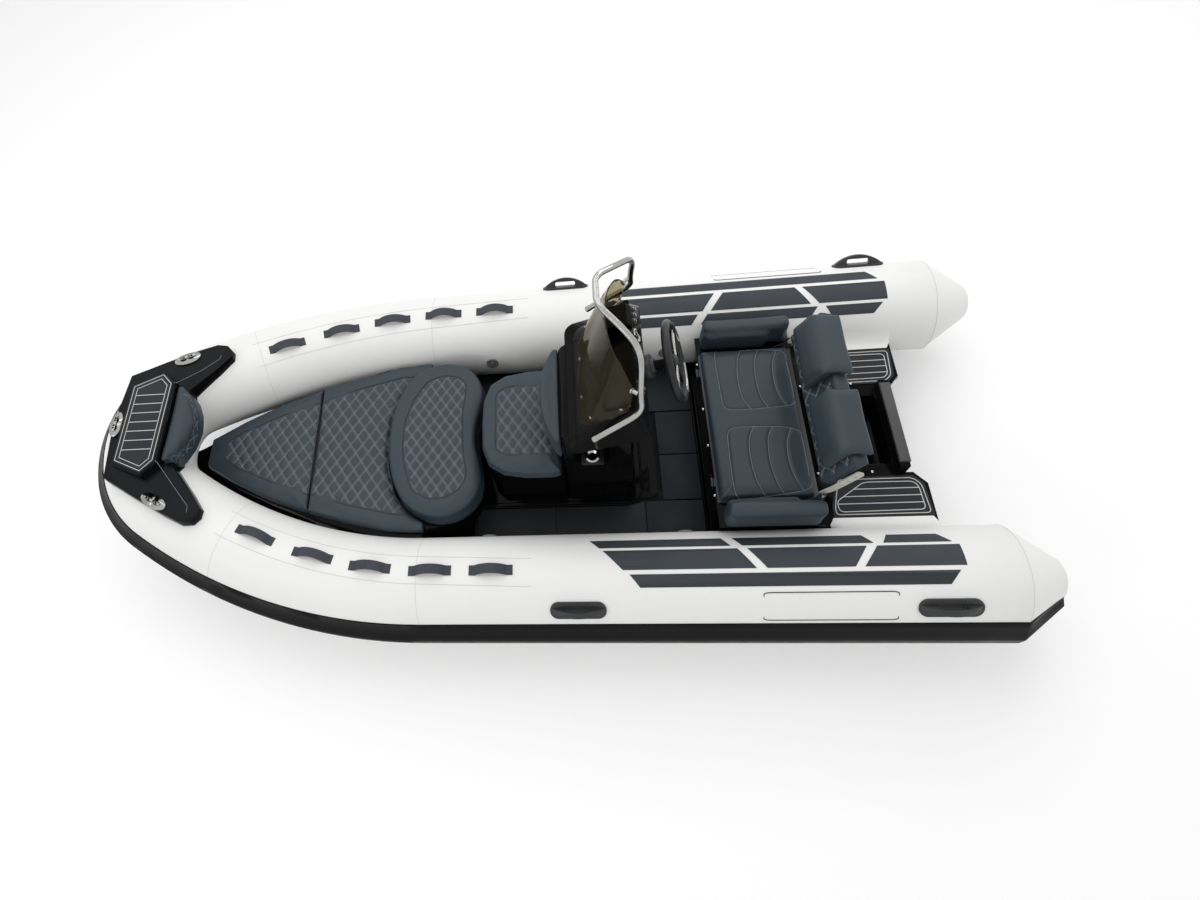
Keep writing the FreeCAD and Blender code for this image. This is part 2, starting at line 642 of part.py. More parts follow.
screen = Part.makeLoft([screen_wire(920, -246, (-264, 226), (-420, 290)),
                        screen_wire(1090, -288, (-312, 226), (-450, 280)),
                        screen_wire(1270, -335, (-366, 212), (-468, 266)),
                        screen_wire(1450, -380, (-414, 165), (-486, 222))], True, False)
screen_top = side([(-100, 1440), (-394, 1440), (-426, 1424), (-452, 1376), (-474, 1326), (-700, 1296),
                   (-700, 1600), (-100, 1600)], -500, 500)
screen_low = side([(-100, 700), (-100, 890), (-235, 890), (-262, 925), (-300, 985), (-440, 1160),
                   (-520, 1249), (-700, 1300), (-700, 700)], -500, 500)


def bent_tube(points, r, bend):
    """Round tube along straight legs joined by bends of one radius."""
    pts = [V(*p) for p in points]
    solids = []
    start = pts[0]
    for i in range(1, len(pts) - 1):
        d0 = (pts[i] - pts[i - 1]).normalize()
        d1 = (pts[i + 1] - pts[i]).normalize()
        turn = d0.getAngle(d1)
        cut = bend[i - 1] * math.tan(turn / 2)
        stop = pts[i] - d0 * cut
        solids.append(Part.makeCylinder(r, (stop - start).Length, start, stop - start))
        axis = d0.cross(d1).normalize()
        centre = stop + axis.cross(d0).normalize() * bend[i - 1]
        circle = Part.Face(Part.Wire(Part.makeCircle(r, stop, d0)))
        solids.append(circle.revolve(centre, axis, math.degrees(turn)))
        start = pts[i] + d1 * cut
    solids.append(Part.makeCylinder(r, (pts[-1] - start).Length, start, pts[-1] - start))
    return solids[0].fuse(solids[1:])


RAIL_R = 11.0
RAIL_Y = 330.0
rail_half = [(-318, RAIL_Y, 1051), (-500, RAIL_Y - 20, 1226), (-474, 256, 1350), (-495, 217, 1533),
             (-352, 62, 1628)]
rail_pts = rail_half + [(x, -y, z) for x, y, z in reversed(rail_half)]
RAIL_BENDS = [45, 120, 60, 110, 110, 60, 120, 45]
rail = bent_tube(rail_pts, RAIL_R, RAIL_BENDS)
tabs = []
for x in (-346, -450):
    share = (rail_half[0][0] - x) / (rail_half[0][0] - rail_half[1][0])
    y = rail_half[0][1] + (rail_half[1][1] - rail_half[0][1]) * share
    z = rail_half[0][2] + (rail_half[1][2] - rail_half[0][2]) * share
    t = rod(7, (x, y, z), (x + 16, y - 55, z - 95)).cut(cowl_body)
    t = max(t.Solids, key=lambda q: q.BoundBox.ZMax)
    tabs.extend([t, flip(t)])
keep("windscreen_rail", rail.fuse(tabs).removeSplitter())
rail_room = bent_tube(rail_pts, RAIL_R + 0.3, RAIL_BENDS)
screen = screen.cut([screen_low, screen_top, cowl_body, rail_room])
keep("windscreen", max(screen.Solids, key=lambda s: s.Volume))

# Instrument pod, helm and wheel
pod = side([(-354, 1040), (-368, 1190), (-398, 1228), (-478, 1243), (-500, 1222), (-486, 1150)], -212, -104)
pod = rounded(pod, 8, lambda e: e.Vertexes[0].Point.z > 1180 and e.Vertexes[-1].Point.z > 1180)
keep("instrument_pod", pod.cut(cowl_body))

tilt = math.radians(WHEEL_TILT)
AX = V(math.cos(tilt), 0, -math.sin(tilt))
SHAFT_R = 11.0
HELM_AT = 98.0


def along(d):
    return V(WHEEL_X, 0, WHEEL_Z) + AX * d


helm = Part.makeCylinder(55, 60, along(HELM_AT), AX).fuse(Part.makeCylinder(32, 20, along(HELM_AT - 14), AX))
helm = helm.cut([Part.makeCylinder(SHAFT_R + 0.08, 80, along(60), AX), cowl_body])
keep("helm", max(helm.Solids, key=lambda s: s.Volume))

wheel = Part.makeTorus(WHEEL_R, RIM_R, along(0), AX)
hub = Part.makeCylinder(34, 30, along(-6), AX)
hub = hub.fuse([Part.makeCylinder(22, 60, along(20), AX), Part.makeCylinder(SHAFT_R, 87, along(20), AX)])
hub = hub.makeFillet(5, [e for e in hub.Edges if isinstance(e.Curve, Part.Circle)
                         and abs(e.Curve.Radius - 34) < 0.01 and (e.Curve.Center - along(-6)).Length < 1])
spokes = []
for a in (90, 270, 0):
    s = box(20, WHEEL_R, -13, 13, -3, 3)
    s.rotate(V(0, 0, 0), V(0, 0, 1), a)
    s.rotate(V(0, 0, 0), V(0, 1, 0), 90 + WHEEL_TILT)
    s.translate(along(6))
    spokes.append(s)
wheel = wheel.fuse([hub] + spokes)
keep("steering_wheel", wheel.removeSplitter())

filler = rounded(box(-358, -252, 160, 250, POCKET_Z + GAP, POCKET_Z + 12), 8, upright)
filler = filler.fuse(Part.makeCylinder(36, 10, V(-304, 205, POCKET_Z + 11)))
keep("fuel_filler", filler)

# Floor pads
pads = []
for x0, x1 in ((-98, 330), (-560, -103), (-850, -565)):
    pads.append(box(x0, x1, 262, 545, SOLE_Z, SOLE_Z + 5))
    pads.append(box(x0, x1, -545, -262, SOLE_Z, SOLE_Z + 5))
pads.append(box(-850, -655, -255, -3, SOLE_Z, SOLE_Z + 5))
pads.append(box(-850, -655, 3, 255, SOLE_Z, SOLE_Z + 5))
pads = [p.cut([aft_cutter, flip(aft_cutter), deck]) for p in pads]
keep("floor_pads", together(pads))

# Helm bench
BENCH_X0 = -1328.0
BENCH_X1 = -868.0
bench = box(BENCH_X0, BENCH_X1, -440, 440, SOLE_Z, 436)
flange = box(BENCH_X0, BENCH_X1 + 2, -520, 520, 436, 446)
store = box(BENCH_X0 + 30, BENCH_X1 - 30, -385, 385, 165, 500)
bench = bench.fuse(flange).cut([store] + cutters)
BENCH_HINGE_X = -856.0
BENCH_HINGE_Z = 456.0
blid = box(-1318, BENCH_X1 - 2, -404, 404, 447, 463)
bench_moving = []
bench_fixed = []
for y in (-300, 300):
    a, b = hinge_pair(BENCH_HINGE_X, BENCH_HINGE_Z, BENCH_X1 - 6, y, BENCH_X1 + 2)
    bench_moving.append(a)
    bench_fixed.append(b)
cheeks = []
for s in (1, -1):
    y0, y1 = (412, 417) if s > 0 else (-417, -412)
    cheek = side([(-1320, 448), (-1230, 448), (-1230, 478), (-1285, 520), (PIVOT_X + 18, PIVOT_Z + 2),
                  (PIVOT_X + 10, PIVOT_Z + 16), (PIVOT_X - 10, PIVOT_Z + 16), (PIVOT_X - 18, PIVOT_Z + 2),
                  (PIVOT_X - 18, 500)], y0, y1)
    cheek = cheek.cut(rod(5.08, (PIVOT_X, y0 - 5, PIVOT_Z), (PIVOT_X, y1 + 5, PIVOT_Z)))
    foot = box(-1318, -1232, min(s * 396, s * 417), max(s * 396, s * 417), 447, 463)
    cheeks.append(cheek.fuse(foot))
blid = blid.fuse([m.cut(bench) for m in bench_moving] + cheeks)
keep("bench_lid", blid.removeSplitter())
bench = bench.fuse([f.cut(blid) for f in bench_fixed]).removeSplitter()
keep("bench_box", bench)
bcush = box(-1298, -872, -408, 408, 463, BENCH_Z)
keep("bench_cushion", rounded(bcush, 16, at_top(BENCH_Z)))


def armrest():
    a = box(-1312, -884, 430, 525, 446, 622)
    a = rounded(a, 26, lambda e: abs(e.Vertexes[0].Point.y - e.Vertexes[-1].Point.y) > 50
                and e.Vertexes[0].Point.z > 600)
    return a.cut(aft_cutter)


keep("bench_armrests", together([armrest(), flip(armrest())]))

# Folding backrest, built upright then leaned
lean = math.radians(BACK_LEAN)
UP = (-math.sin(lean), math.cos(lean))
FWD = (math.cos(lean), math.sin(lean))


def back(u, v):
    return (PIVOT_X + UP[0] * u + FWD[0] * v, PIVOT_Z + UP[1] * u + FWD[1] * v)


def back_block(points, y0, y1):
    return side([back(u, v) for u, v in points], y0, y1)


panel = back_block([(50, -16), (50, 50), (70, 60), (290, 60), (296, -16)], -392, 392)
arm = back_block([(-12, -12), (-12, 12), (60, 14), (70, 10), (250, 10), (250, -12)], 400, 405)
arm = arm.fuse(rod(5, (PIVOT_X, 400, PIVOT_Z), (PIVOT_X, 424, PIVOT_Z)))
arm = arm.fuse(back_block([(120, -10), (120, 8), (230, 8), (230, -10)], 392, 400))
keep("backrest_arms", together([arm.removeSplitter(), flip(arm.removeSplitter())]))
bol = back_block([(139, 60), (139, 104), (150, 117), (284, 117), (299, 106), (328, -20), (318, -32),
                  (296, -16), (290, 60)], 30, 362)
keep("backrest_panel", panel)
keep("backrest_bolsters", together([bol, flip(bol)]))

# Platform pads
ppad = [(-1440, 250), (-1782, 250), (-1822, 290), (-1834, 450), (-1400, 450), (-1400, 400)]
pp = plan(ppad, PLAT_Z, PLAT_Z + 6).cut(box(-1600, -1335, 0, 250, 300, 500))
pp = pp.cut(aft_cutter)
keep("platform_pads", together([pp, flip(pp)]))

# Towing eyes: a U-bolt on the stem and one on each pod
EYE_R = 20.0
EYE_WIRE = 5.0
EYE_REACH = 24.0
STEM_EYE = V(1787, 0, 92)
STEM_TURN = -25.0
POD_EYE = V(POD_X, 345, 215)


def towing_eye(base, turn):
    """U-bolt hanging from its base, turned about the Y axis."""
    face = Part.Face(Part.Wire(Part.makeCircle(EYE_WIRE, V(EYE_R, 0, -EYE_REACH), V(0, 0, -1))))
    eye = face.revolve(V(0, 0, -EYE_REACH), V(0, 1, 0), 180)
    for s in (-1, 1):
        eye = eye.fuse(Part.makeCylinder(EYE_WIRE, 30 + EYE_REACH, V(s * EYE_R, 0, 30), V(0, 0, -1)))
        eye = eye.fuse(Part.makeCylinder(10, 34, V(s * EYE_R, 0, 30), V(0, 0, -1)))
    eye.rotate(V(0, 0, 0), V(0, 1, 0), turn)
    eye.translate(base)
    return eye


stem_eye = towing_eye(STEM_EYE, STEM_TURN).cut(hull_body)
pod_eye = towing_eye(POD_EYE, 90).cut(stern)
stem_eye = max(stem_eye.Solids, key=lambda s: s.Volume)
pod_eye = max(pod_eye.Solids, key=lambda s: s.Volume)
keep("towing_eyes", together([stem_eye, pod_eye, flip(pod_eye)]))

if __name__ == "__main__":
    for name, s in parts.items():
        b = s.BoundBox
        print("%-24s %3d solids %10.0f cm3  x %6.0f %6.0f  y %6.0f %6.0f  z %6.0f %6.0f"
              % (name, len(s.Solids), s.Volume / 1000, b.XMin, b.XMax, b.YMin, b.YMax, b.ZMin, b.ZMax))
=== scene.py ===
import bpy
import bmesh
import math
import random
from mathutils import Matrix, Vector
from mathutils.bvhtree import BVHTree
from mathutils.kdtree import KDTree


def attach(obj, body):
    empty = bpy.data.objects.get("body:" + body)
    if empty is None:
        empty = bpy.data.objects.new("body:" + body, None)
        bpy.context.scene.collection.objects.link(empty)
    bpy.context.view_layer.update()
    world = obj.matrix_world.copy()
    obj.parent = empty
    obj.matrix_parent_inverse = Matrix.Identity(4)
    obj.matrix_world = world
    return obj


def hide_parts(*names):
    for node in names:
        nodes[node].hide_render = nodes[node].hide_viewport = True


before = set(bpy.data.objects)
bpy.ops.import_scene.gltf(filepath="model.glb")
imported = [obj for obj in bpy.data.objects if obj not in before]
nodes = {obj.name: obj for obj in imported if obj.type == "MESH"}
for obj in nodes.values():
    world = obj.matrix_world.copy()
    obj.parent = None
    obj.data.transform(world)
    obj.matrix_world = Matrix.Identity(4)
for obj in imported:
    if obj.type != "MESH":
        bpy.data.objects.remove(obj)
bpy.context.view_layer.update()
random.seed(11)
print("frame loaded")

# camera, floor and light

cameraView = {
    "place": (-0.30, 1.696, 3.911), "right": (-0.9851, -0.0322, -0.1692), "down": (0.0528, 0.8784, -0.475),
    "forward": (0.1639, -0.4769, -0.8636), "lens": 22.5075, "sensor": 36.0, "shift": (0.11358, -0.04067),
}
studio = {
    "floorSize": 40.0, "floorColour": (0.93, 0.93, 0.93), "floorGlow": 0.13, "skyLevel": 0.74,
    "lamps": {
        "keySoftbox": {"place": (0.9, -2.2, 5.6), "target": (0, 0, 0), "size": (8.0, 6.0), "power": 120.0},
        "rimStrip": {"place": (-2.6, -3.4, 3.4), "target": (-0.4, 0, 0.6), "size": (3.4, 0.22),
                     "power": 26.0},
        "sideStrip": {"place": (3.0, 3.6, 3.0), "target": (0.6, 0, 0.6), "size": (3.0, 0.22), "power": 20.0},
    },
}


def addObject(name, data):
    thing = bpy.data.objects.new(name, data)
    bpy.context.scene.collection.objects.link(thing)
    return thing


def placeCamera():
    lens = bpy.data.cameras.new("photoLens")
    camera = addObject("photoCamera", lens)
    axes = (Vector(cameraView["right"]), -Vector(cameraView["down"]), -Vector(cameraView["forward"]))
    camera.matrix_world = Matrix.Translation(cameraView["place"]) @ Matrix(axes).transposed().to_4x4()
    lens.sensor_width = cameraView["sensor"]
    lens.lens = cameraView["lens"]
    lens.shift_x, lens.shift_y = cameraView["shift"]
    lens.clip_end = 200.0
    bpy.context.scene.camera = camera


def placeLamp(name, spec):
    light = bpy.data.lights.new(name, "AREA")
    light.shape = "RECTANGLE"
    light.size, light.size_y = spec["size"]
    light.energy = spec["power"]
    lamp = addObject(name, light)
    lamp.location = spec["place"]
    lamp.rotation_euler = (Vector(spec["target"]) - Vector(spec["place"])).to_track_quat("-Z", "Y").to_euler()


def calc(tree, operation, *values):
    node = tree.nodes.new("ShaderNodeMath")
    node.operation = operation
    for index, value in enumerate(values):
        if isinstance(value, (int, float)):
            node.inputs[index].default_value = value
        else:
            tree.links.new(value, node.inputs[index])
    return node.outputs[0]


def seenMix(tree, shade, seen):
    # what the camera, mirrors and glass see, against what lights the boat
    path = tree.nodes.new("ShaderNodeLightPath")
    ways = path.outputs["Is Camera Ray"]
    for kind in ("Is Transmission Ray", "Is Glossy Ray"):
        ways = calc(tree, "MAXIMUM", ways, path.outputs[kind])
    mix = tree.nodes.new("ShaderNodeMixShader")
    for socket, value in zip(mix.inputs, (ways, shade, seen)):
        tree.links.new(value, socket)
    return mix.outputs[0]


def setSky():
    world = bpy.data.worlds.new("studioAir")
    bpy.context.scene.world = world
    world.use_nodes = True
    tree = world.node_tree
    tree.nodes.clear()
    glow, white = (tree.nodes.new("ShaderNodeBackground") for k in range(2))
    glow.inputs["Strength"].default_value = studio["skyLevel"]
    for air in (glow, white):
        air.inputs["Color"].default_value = (1.0, 1.0, 1.0, 1.0)
    out = tree.nodes.new("ShaderNodeOutputWorld")
    tree.links.new(seenMix(tree, glow.outputs[0], white.outputs[0]), out.inputs["Surface"])


def layFloor():
    bpy.ops.mesh.primitive_plane_add(size=studio["floorSize"], location=(0, 0, 0))
    floor = bpy.context.object
    floor.name = "paleFloor"
    paint = bpy.data.materials.new("paleFloorPaint")
    paint.use_nodes = True
    tree = paint.node_tree
    shader = tree.nodes["Principled BSDF"]
    shader.inputs["Base Color"].default_value = (*studio["floorColour"], 1.0)
    shader.inputs["Roughness"].default_value = 0.9
    lift = tree.nodes.new("ShaderNodeEmission")
    lift.inputs["Strength"].default_value = studio["floorGlow"]
    both = tree.nodes.new("ShaderNodeAddShader")
    tree.links.new(shader.outputs[0], both.inputs[0])
    tree.links.new(lift.outputs[0], both.inputs[1])
    seen = seenMix(tree, shader.outputs[0], both.outputs[0])
    tree.links.new(seen, tree.nodes["Material Output"].inputs["Surface"])
    floor.data.materials.append(paint)


placeCamera()
setSky()
layFloor()
for name, spec in studio["lamps"].items():
    placeLamp(name, spec)
bpy.context.scene.view_settings.view_transform = "Standard"
print("camera, floor and lights set")

# surface patterns: each becomes a node group that several finishes use


def noiseAt(tree, vector, scale, detail=3.0, roughness=0.55, distortion=0.0):
    node = tree.nodes.new("ShaderNodeTexNoise")
    tree.links.new(vector, node.inputs["Vector"])
    if isinstance(scale, (int, float)):
        node.inputs["Scale"].default_value = scale
    else:
        tree.links.new(scale, node.inputs["Scale"])
    for label, value in (("Detail", detail), ("Roughness", roughness), ("Distortion", distortion)):
        node.inputs[label].default_value = value
    return node.outputs["Fac"]


def blend(tree, first, firstShare, second, secondShare):
    return calc(tree, "ADD", calc(tree, "MULTIPLY", first, firstShare),
                calc(tree, "MULTIPLY", second, secondShare))


def wave(tree, axis, scale, turn):
    return calc(tree, "SINE", calc(tree, "MULTIPLY", calc(tree, "MULTIPLY", axis, scale), turn))


def axesOf(tree, vector):
    split = tree.nodes.new("ShaderNodeSeparateXYZ")
    tree.links.new(vector, split.inputs[0])
    return split.outputs


def coatedCloth(tree, vector, scale):
    # fine warp and weft under the coating
    warp, weft, rise = (wave(tree, axis, scale, 6.2832) for axis in axesOf(tree, vector))
    both = calc(tree, "MULTIPLY", warp, calc(tree, "ADD", weft, rise))
    return blend(tree, both, 0.2, noiseAt(tree, vector, 60.0), 1.0)


def vinylHide(tree, vector, scale):
    # pebbled cells broken by soft creases
    cells = tree.nodes.new("ShaderNodeTexVoronoi")
    cells.feature = "SMOOTH_F1"
    tree.links.new(vector, cells.inputs["Vector"])
    tree.links.new(scale, cells.inputs["Scale"])
    return blend(tree, cells.outputs["Distance"], 0.7, noiseAt(tree, vector, 26.0, 4.0), 0.5)


def mouldedSkin(tree, vector, scale):
    # gelcoat ripple or a fine cast grain
    return blend(tree, noiseAt(tree, vector, scale, 2.0), 0.5, noiseAt(tree, vector, 5.0, 2.0), 0.8)


def tapeRibs(tree, vector, scale):
    # ribs across a woven tape
    axes = axesOf(tree, vector)
    parts = [calc(tree, "MULTIPLY", axes[axis], share) for axis, share in ((0, 1.0), (1, 0.55))]
    long, cross = (calc(tree, "ABSOLUTE", wave(tree, part, scale, 3.1416)) for part in parts)
    return blend(tree, long, 0.6, cross, 0.4)


def polishLines(tree, vector, scale):
    # long scratches left by a wheel
    stretch = tree.nodes.new("ShaderNodeMapping")
    stretch.inputs["Scale"].default_value = (1.0, 9.0, 9.0)
    tree.links.new(vector, stretch.inputs["Vector"])
    return noiseAt(tree, stretch.outputs[0], scale, 4.0)


def handlingMarks(tree, vector, scale):
    # soft blotches and specks, 0 to 1
    specks = calc(tree, "GREATER_THAN", noiseAt(tree, vector, 190.0, 2.0), 0.7)
    return blend(tree, noiseAt(tree, vector, scale, 4.0, 0.6, 0.3), 1.0, specks, 0.3)


def makePattern(recipe):
    group = bpy.data.node_groups.new(recipe.__name__, "ShaderNodeTree")
    group.interface.new_socket("Vector", in_out="INPUT", socket_type="NodeSocketVector")
    group.interface.new_socket("Scale", in_out="INPUT", socket_type="NodeSocketFloat").default_value = 1.0
    group.interface.new_socket("Value", in_out="OUTPUT", socket_type="NodeSocketFloat")
    start = group.nodes.new("NodeGroupInput")
    end = group.nodes.new("NodeGroupOutput")
    value = recipe(group, start.outputs["Vector"], start.outputs["Scale"])
    group.links.new(value, end.inputs["Value"])
    return group


patterns = {recipe.__name__: makePattern(recipe)
            for recipe in (coatedCloth, vinylHide, mouldedSkin, tapeRibs, polishLines, handlingMarks)}

# finishes: colour, worn colour, roughness range, pattern, its scale, bump depth in metres, scale of the marks
# and, where they differ from the usual, shine, metal and coat
finishes = {
    "tubeCloth": ((0.85, 0.85, 0.83), (0.90, 0.90, 0.885), (0.36, 0.5), "coatedCloth", 520.0, 0.0004, 2.2),
    "strakeRubber": ((0.003, 0.003, 0.0032), (0.008, 0.008, 0.0085), (0.34, 0.5),
                     "mouldedSkin", 700.0, 0.0005, 9.0, {"shine": 0.10}),
    "gripRubber": ((0.017, 0.023, 0.030), (0.032, 0.040, 0.049), (0.55, 0.75),
                   "vinylHide", 420.0, 0.0010, 6.0),
    "strapWebbing": ((0.022, 0.028, 0.036), (0.048, 0.057, 0.068), (0.6, 0.85),
                     "tapeRibs", 330.0, 0.0012, 12.0),
    "handleRubber": ((0.008, 0.009, 0.011), (0.024, 0.026, 0.03), (0.38, 0.55),
                     "mouldedSkin", 900.0, 0.0006, 14.0),
    "blackGelcoat": ((0.002, 0.002, 0.0022), (0.006, 0.006, 0.0065), (0.06, 0.13),
                     "mouldedSkin", 90.0, 0.00020, 7.0, {"shine": 0.06}),
    "stepTop": ((0.0035, 0.0045, 0.0055), (0.008, 0.010, 0.012), (0.20, 0.32),
                "vinylHide", 620.0, 0.0003, 6.0, {"shine": 0.10}),
    "deckFoam": ((0.008, 0.010, 0.013), (0.017, 0.020, 0.025), (0.62, 0.82),
                 "vinylHide", 520.0, 0.0009, 9.0, {"shine": 0.36}),
    "inlayWhite": ((0.52, 0.52, 0.50), (0.62, 0.62, 0.60), (0.5, 0.65), "mouldedSkin", 500.0, 0.0003, 9.0),
    "seatVinyl": ((0.022, 0.035, 0.047), (0.034, 0.050, 0.064), (0.38, 0.54),
                  "vinylHide", 760.0, 0.0005, 5.0, {"shine": 0.32}),
    "pipingVinyl": ((0.022, 0.032, 0.043), (0.036, 0.049, 0.064), (0.4, 0.55),
                    "vinylHide", 900.0, 0.0004, 9.0),
    # painted shadow: near-black for the quilt rims' seam beads, standing for the shadow in the crease at each
    # quilt's edge
    "seamCreaseShadow": ((0.006, 0.008, 0.010), (0.012, 0.015, 0.019), (0.5, 0.65), "vinylHide", 900.0, 0.0003, 9.0),
    "stitchThread": ((0.30, 0.345, 0.37), (0.40, 0.44, 0.47), (0.6, 0.75), "tapeRibs", 900.0, 0.0005, 12.0),
    "stainless": ((0.27, 0.268, 0.26), (0.52, 0.52, 0.505), (0.06, 0.15),
                  "polishLines", 160.0, 0.0001, 12.0, {"metal": 1.0}),
    "blackPlastic": ((0.012, 0.013, 0.015), (0.03, 0.032, 0.036), (0.35, 0.52),
                     "mouldedSkin", 850.0, 0.0005, 11.0),
    "wheelGrip": ((0.005, 0.0055, 0.006), (0.013, 0.014, 0.016), (0.3, 0.44),
                  "vinylHide", 900.0, 0.0005, 14.0, {"shine": 0.35}),
    "capGrey": ((0.034, 0.035, 0.037), (0.06, 0.06, 0.063), (0.35, 0.5), "mouldedSkin", 620.0, 0.0004, 9.0),
    "creamPaint": ((0.48, 0.48, 0.43), (0.60, 0.60, 0.55), (0.3, 0.45), "mouldedSkin", 400.0, 0.0003, 16.0),
    "valveGrey": ((0.16, 0.16, 0.165), (0.24, 0.24, 0.245), (0.4, 0.55), "mouldedSkin", 700.0, 0.0004, 16.0),
    "tubeSeamTape": ((0.58, 0.58, 0.56), (0.66, 0.66, 0.64), (0.4, 0.55), "coatedCloth", 520.0, 0.0003, 9.0),
    "dialFace": ((0.012, 0.013, 0.016), (0.02, 0.021, 0.025), (0.08, 0.15),
                 "mouldedSkin", 200.0, 0.0001, 16.0, {"coat": 0.8}),
}
smoke = {"colour": (0.36, 0.325, 0.20), "worn": (0.42, 0.38, 0.25), "rough": (0.02, 0.05), "marks": 8.0,
         "sockets": {"Transmission Weight": 0.955, "IOR": 1.06, "Coat Weight": 0.14, "Coat Roughness": 0.03}}


def mixColours(tree, mask, first, second):
    mix = tree.nodes.new("ShaderNodeMix")
    mix.data_type = "RGBA"
    tree.links.new(mask, mix.inputs["Factor"])
    for label, value in (("A", first), ("B", second)):
        socket = [s for s in mix.inputs if s.name == label and s.type == "RGBA"][0]
        socket.default_value = (*value, 1.0)
    return [s for s in mix.outputs if s.type == "RGBA"][0]


def patternAt(tree, name, place, scale):
    node = tree.nodes.new("ShaderNodeGroup")
    node.node_tree = patterns[name]
    node.inputs["Scale"].default_value = scale
    tree.links.new(place, node.inputs["Vector"])
    return node.outputs["Value"]


def markedFinish(name, colour, worn, rough, marks, span):
    # a shader whose colour and roughness follow the handling marks
    material = bpy.data.materials.new(name)
    material.use_nodes = True
    tree = material.node_tree
    shader = tree.nodes["Principled BSDF"]
    place = tree.nodes.new("ShaderNodeTexCoord").outputs["Object"]
    mask = patternAt(tree, "handlingMarks", place, marks)
    tree.links.new(mixColours(tree, mask, colour, worn), shader.inputs["Base Color"])
    spread = tree.nodes.new("ShaderNodeMapRange")
    for label, value in zip(("From Min", "From Max", "To Min", "To Max"), (*span, *rough)):
        spread.inputs[label].default_value = value
    tree.links.new(mask, spread.inputs["Value"])
    tree.links.new(spread.outputs["Result"], shader.inputs["Roughness"])
    return material, place


def makeFinish(name, colour, worn, rough, pattern, scale, depth, marks, more={}):
    material, place = markedFinish(name, colour, worn, rough, marks, (0.3, 0.8))
    tree = material.node_tree
    shader = tree.nodes["Principled BSDF"]
    bump = tree.nodes.new("ShaderNodeBump")
    bump.inputs["Distance"].default_value = depth
    bump.inputs["Strength"].default_value = 0.6
    tree.links.new(patternAt(tree, pattern, place, scale), bump.inputs["Height"])
    tree.links.new(bump.outputs["Normal"], shader.inputs["Normal"])
    shader.inputs["Metallic"].default_value = more.get("metal", 0.0)
    shader.inputs["Coat Weight"].default_value = more.get("coat", 0.0)
    shader.inputs["Coat Roughness"].default_value = 0.04
    shader.inputs["Specular IOR Level"].default_value = more.get("shine", 0.5)
    return material


def makeSmokedAcrylic():
    material = markedFinish("smokedAcrylic", smoke["colour"], smoke["worn"], smoke["rough"], smoke["marks"],
                            (0.0, 1.0))[0]
    for label, value in smoke["sockets"].items():
        material.node_tree.nodes["Principled BSDF"].inputs[label].default_value = value
    return material


paints = {name: makeFinish(name, *row) for name, row in finishes.items()}
paints["smokedAcrylic"] = makeSmokedAcrylic()
print("finishes made:", len(paints))

# helpers for modelling

outwards = (bpy.ops.mesh.normals_make_consistent, {"inside": False})


def pick(piece):
    bpy.ops.object.select_all(action="DESELECT")
    piece.select_set(True)
    bpy.context.view_layer.objects.active = piece


def editing(piece):
    pick(piece)
    bpy.ops.object.mode_set(mode="EDIT")


def doneEditing():
    bpy.ops.object.mode_set(mode="OBJECT")


def editWhole(piece, *steps):
    # each step is an operator and its settings, run on the whole mesh
    editing(piece)
    for operator, settings in steps:
        bpy.ops.mesh.select_all(action="SELECT")
        operator(**settings)
    doneEditing()


def selectWhere(piece, kind, test):
    bpy.ops.mesh.select_mode(type=kind)
    mesh = bmesh.from_edit_mesh(piece.data)
    for item in mesh.verts if kind == "VERT" else mesh.faces:
        item.select = test(item)
    mesh.select_flush_mode()
    bmesh.update_edit_mesh(piece.data)


def settle(piece, name):
    piece.name = name
    pick(piece)
    bpy.ops.object.transform_apply(location=True, rotation=True, scale=True)
    return piece


def addModifier(piece, kind, **settings):
    pick(piece)
    bpy.ops.object.modifier_add(type=kind)
    modifier = piece.modifiers[-1]
    for key, value in settings.items():
        setattr(modifier, key, value)
    bpy.ops.object.modifier_apply(modifier=modifier.name)


def wear(piece, paint, slot, body="boat", instead=(), smooth=38):
    # paint a finished piece, and say what it rides on and what it replaces
    piece.data.materials.clear()
    piece.data.materials.append(paints[paint])
    if smooth:
        pick(piece)
        bpy.ops.object.shade_smooth_by_angle(angle=math.radians(smooth))
    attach(piece, body)
    if instead:
        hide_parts(*instead)
    return piece


def nodeCopy(node, name):
    # own merged copy of a CAD node's mesh
    piece = addObject(name, nodes[node].data.copy())
    editWhole(piece, (bpy.ops.mesh.remove_doubles, {"threshold": 0.00005}))
    return piece


def meshPiece(name, verts, faces):
    mesh = bpy.data.meshes.new(name)
    mesh.from_pydata(verts, [], faces)
    piece = addObject(name, mesh)
    editWhole(piece, outwards)
    return piece


def joinPieces(pieces, name):
    pick(pieces[0])
    for piece in pieces[1:]:
        piece.select_set(True)
    bpy.ops.object.join()
    joined = bpy.context.object
    joined.name = name
    return joined


def mirrorCopy(piece, name):
    # the starboard twin, with its own mesh
    twin = addObject(name, piece.data.copy())
    twin.data.transform(Matrix.Scale(-1, 4, (0, 1, 0)))
    twin.data.flip_normals()
    return twin


def wearPair(port, name, paint, slot, **settings):
    # dress a port piece, called NAMEPort, and its twin
    wear(mirrorCopy(port, name + "Starboard"), paint, slot, **settings)
    wear(port, paint, slot, **settings)


def addSpline(curve, kind, points, closed):
    spline = curve.splines.new(kind)
    spline.points.add(len(points) - 1)
    for spot, point in zip(spline.points, points):
        spot.co = (*point, 1.0)
    spline.use_cyclic_u = closed
    return spline


def asMesh(name, curve):
    pick(addObject(name, curve))
    bpy.ops.object.convert(target="MESH")
    return bpy.context.object


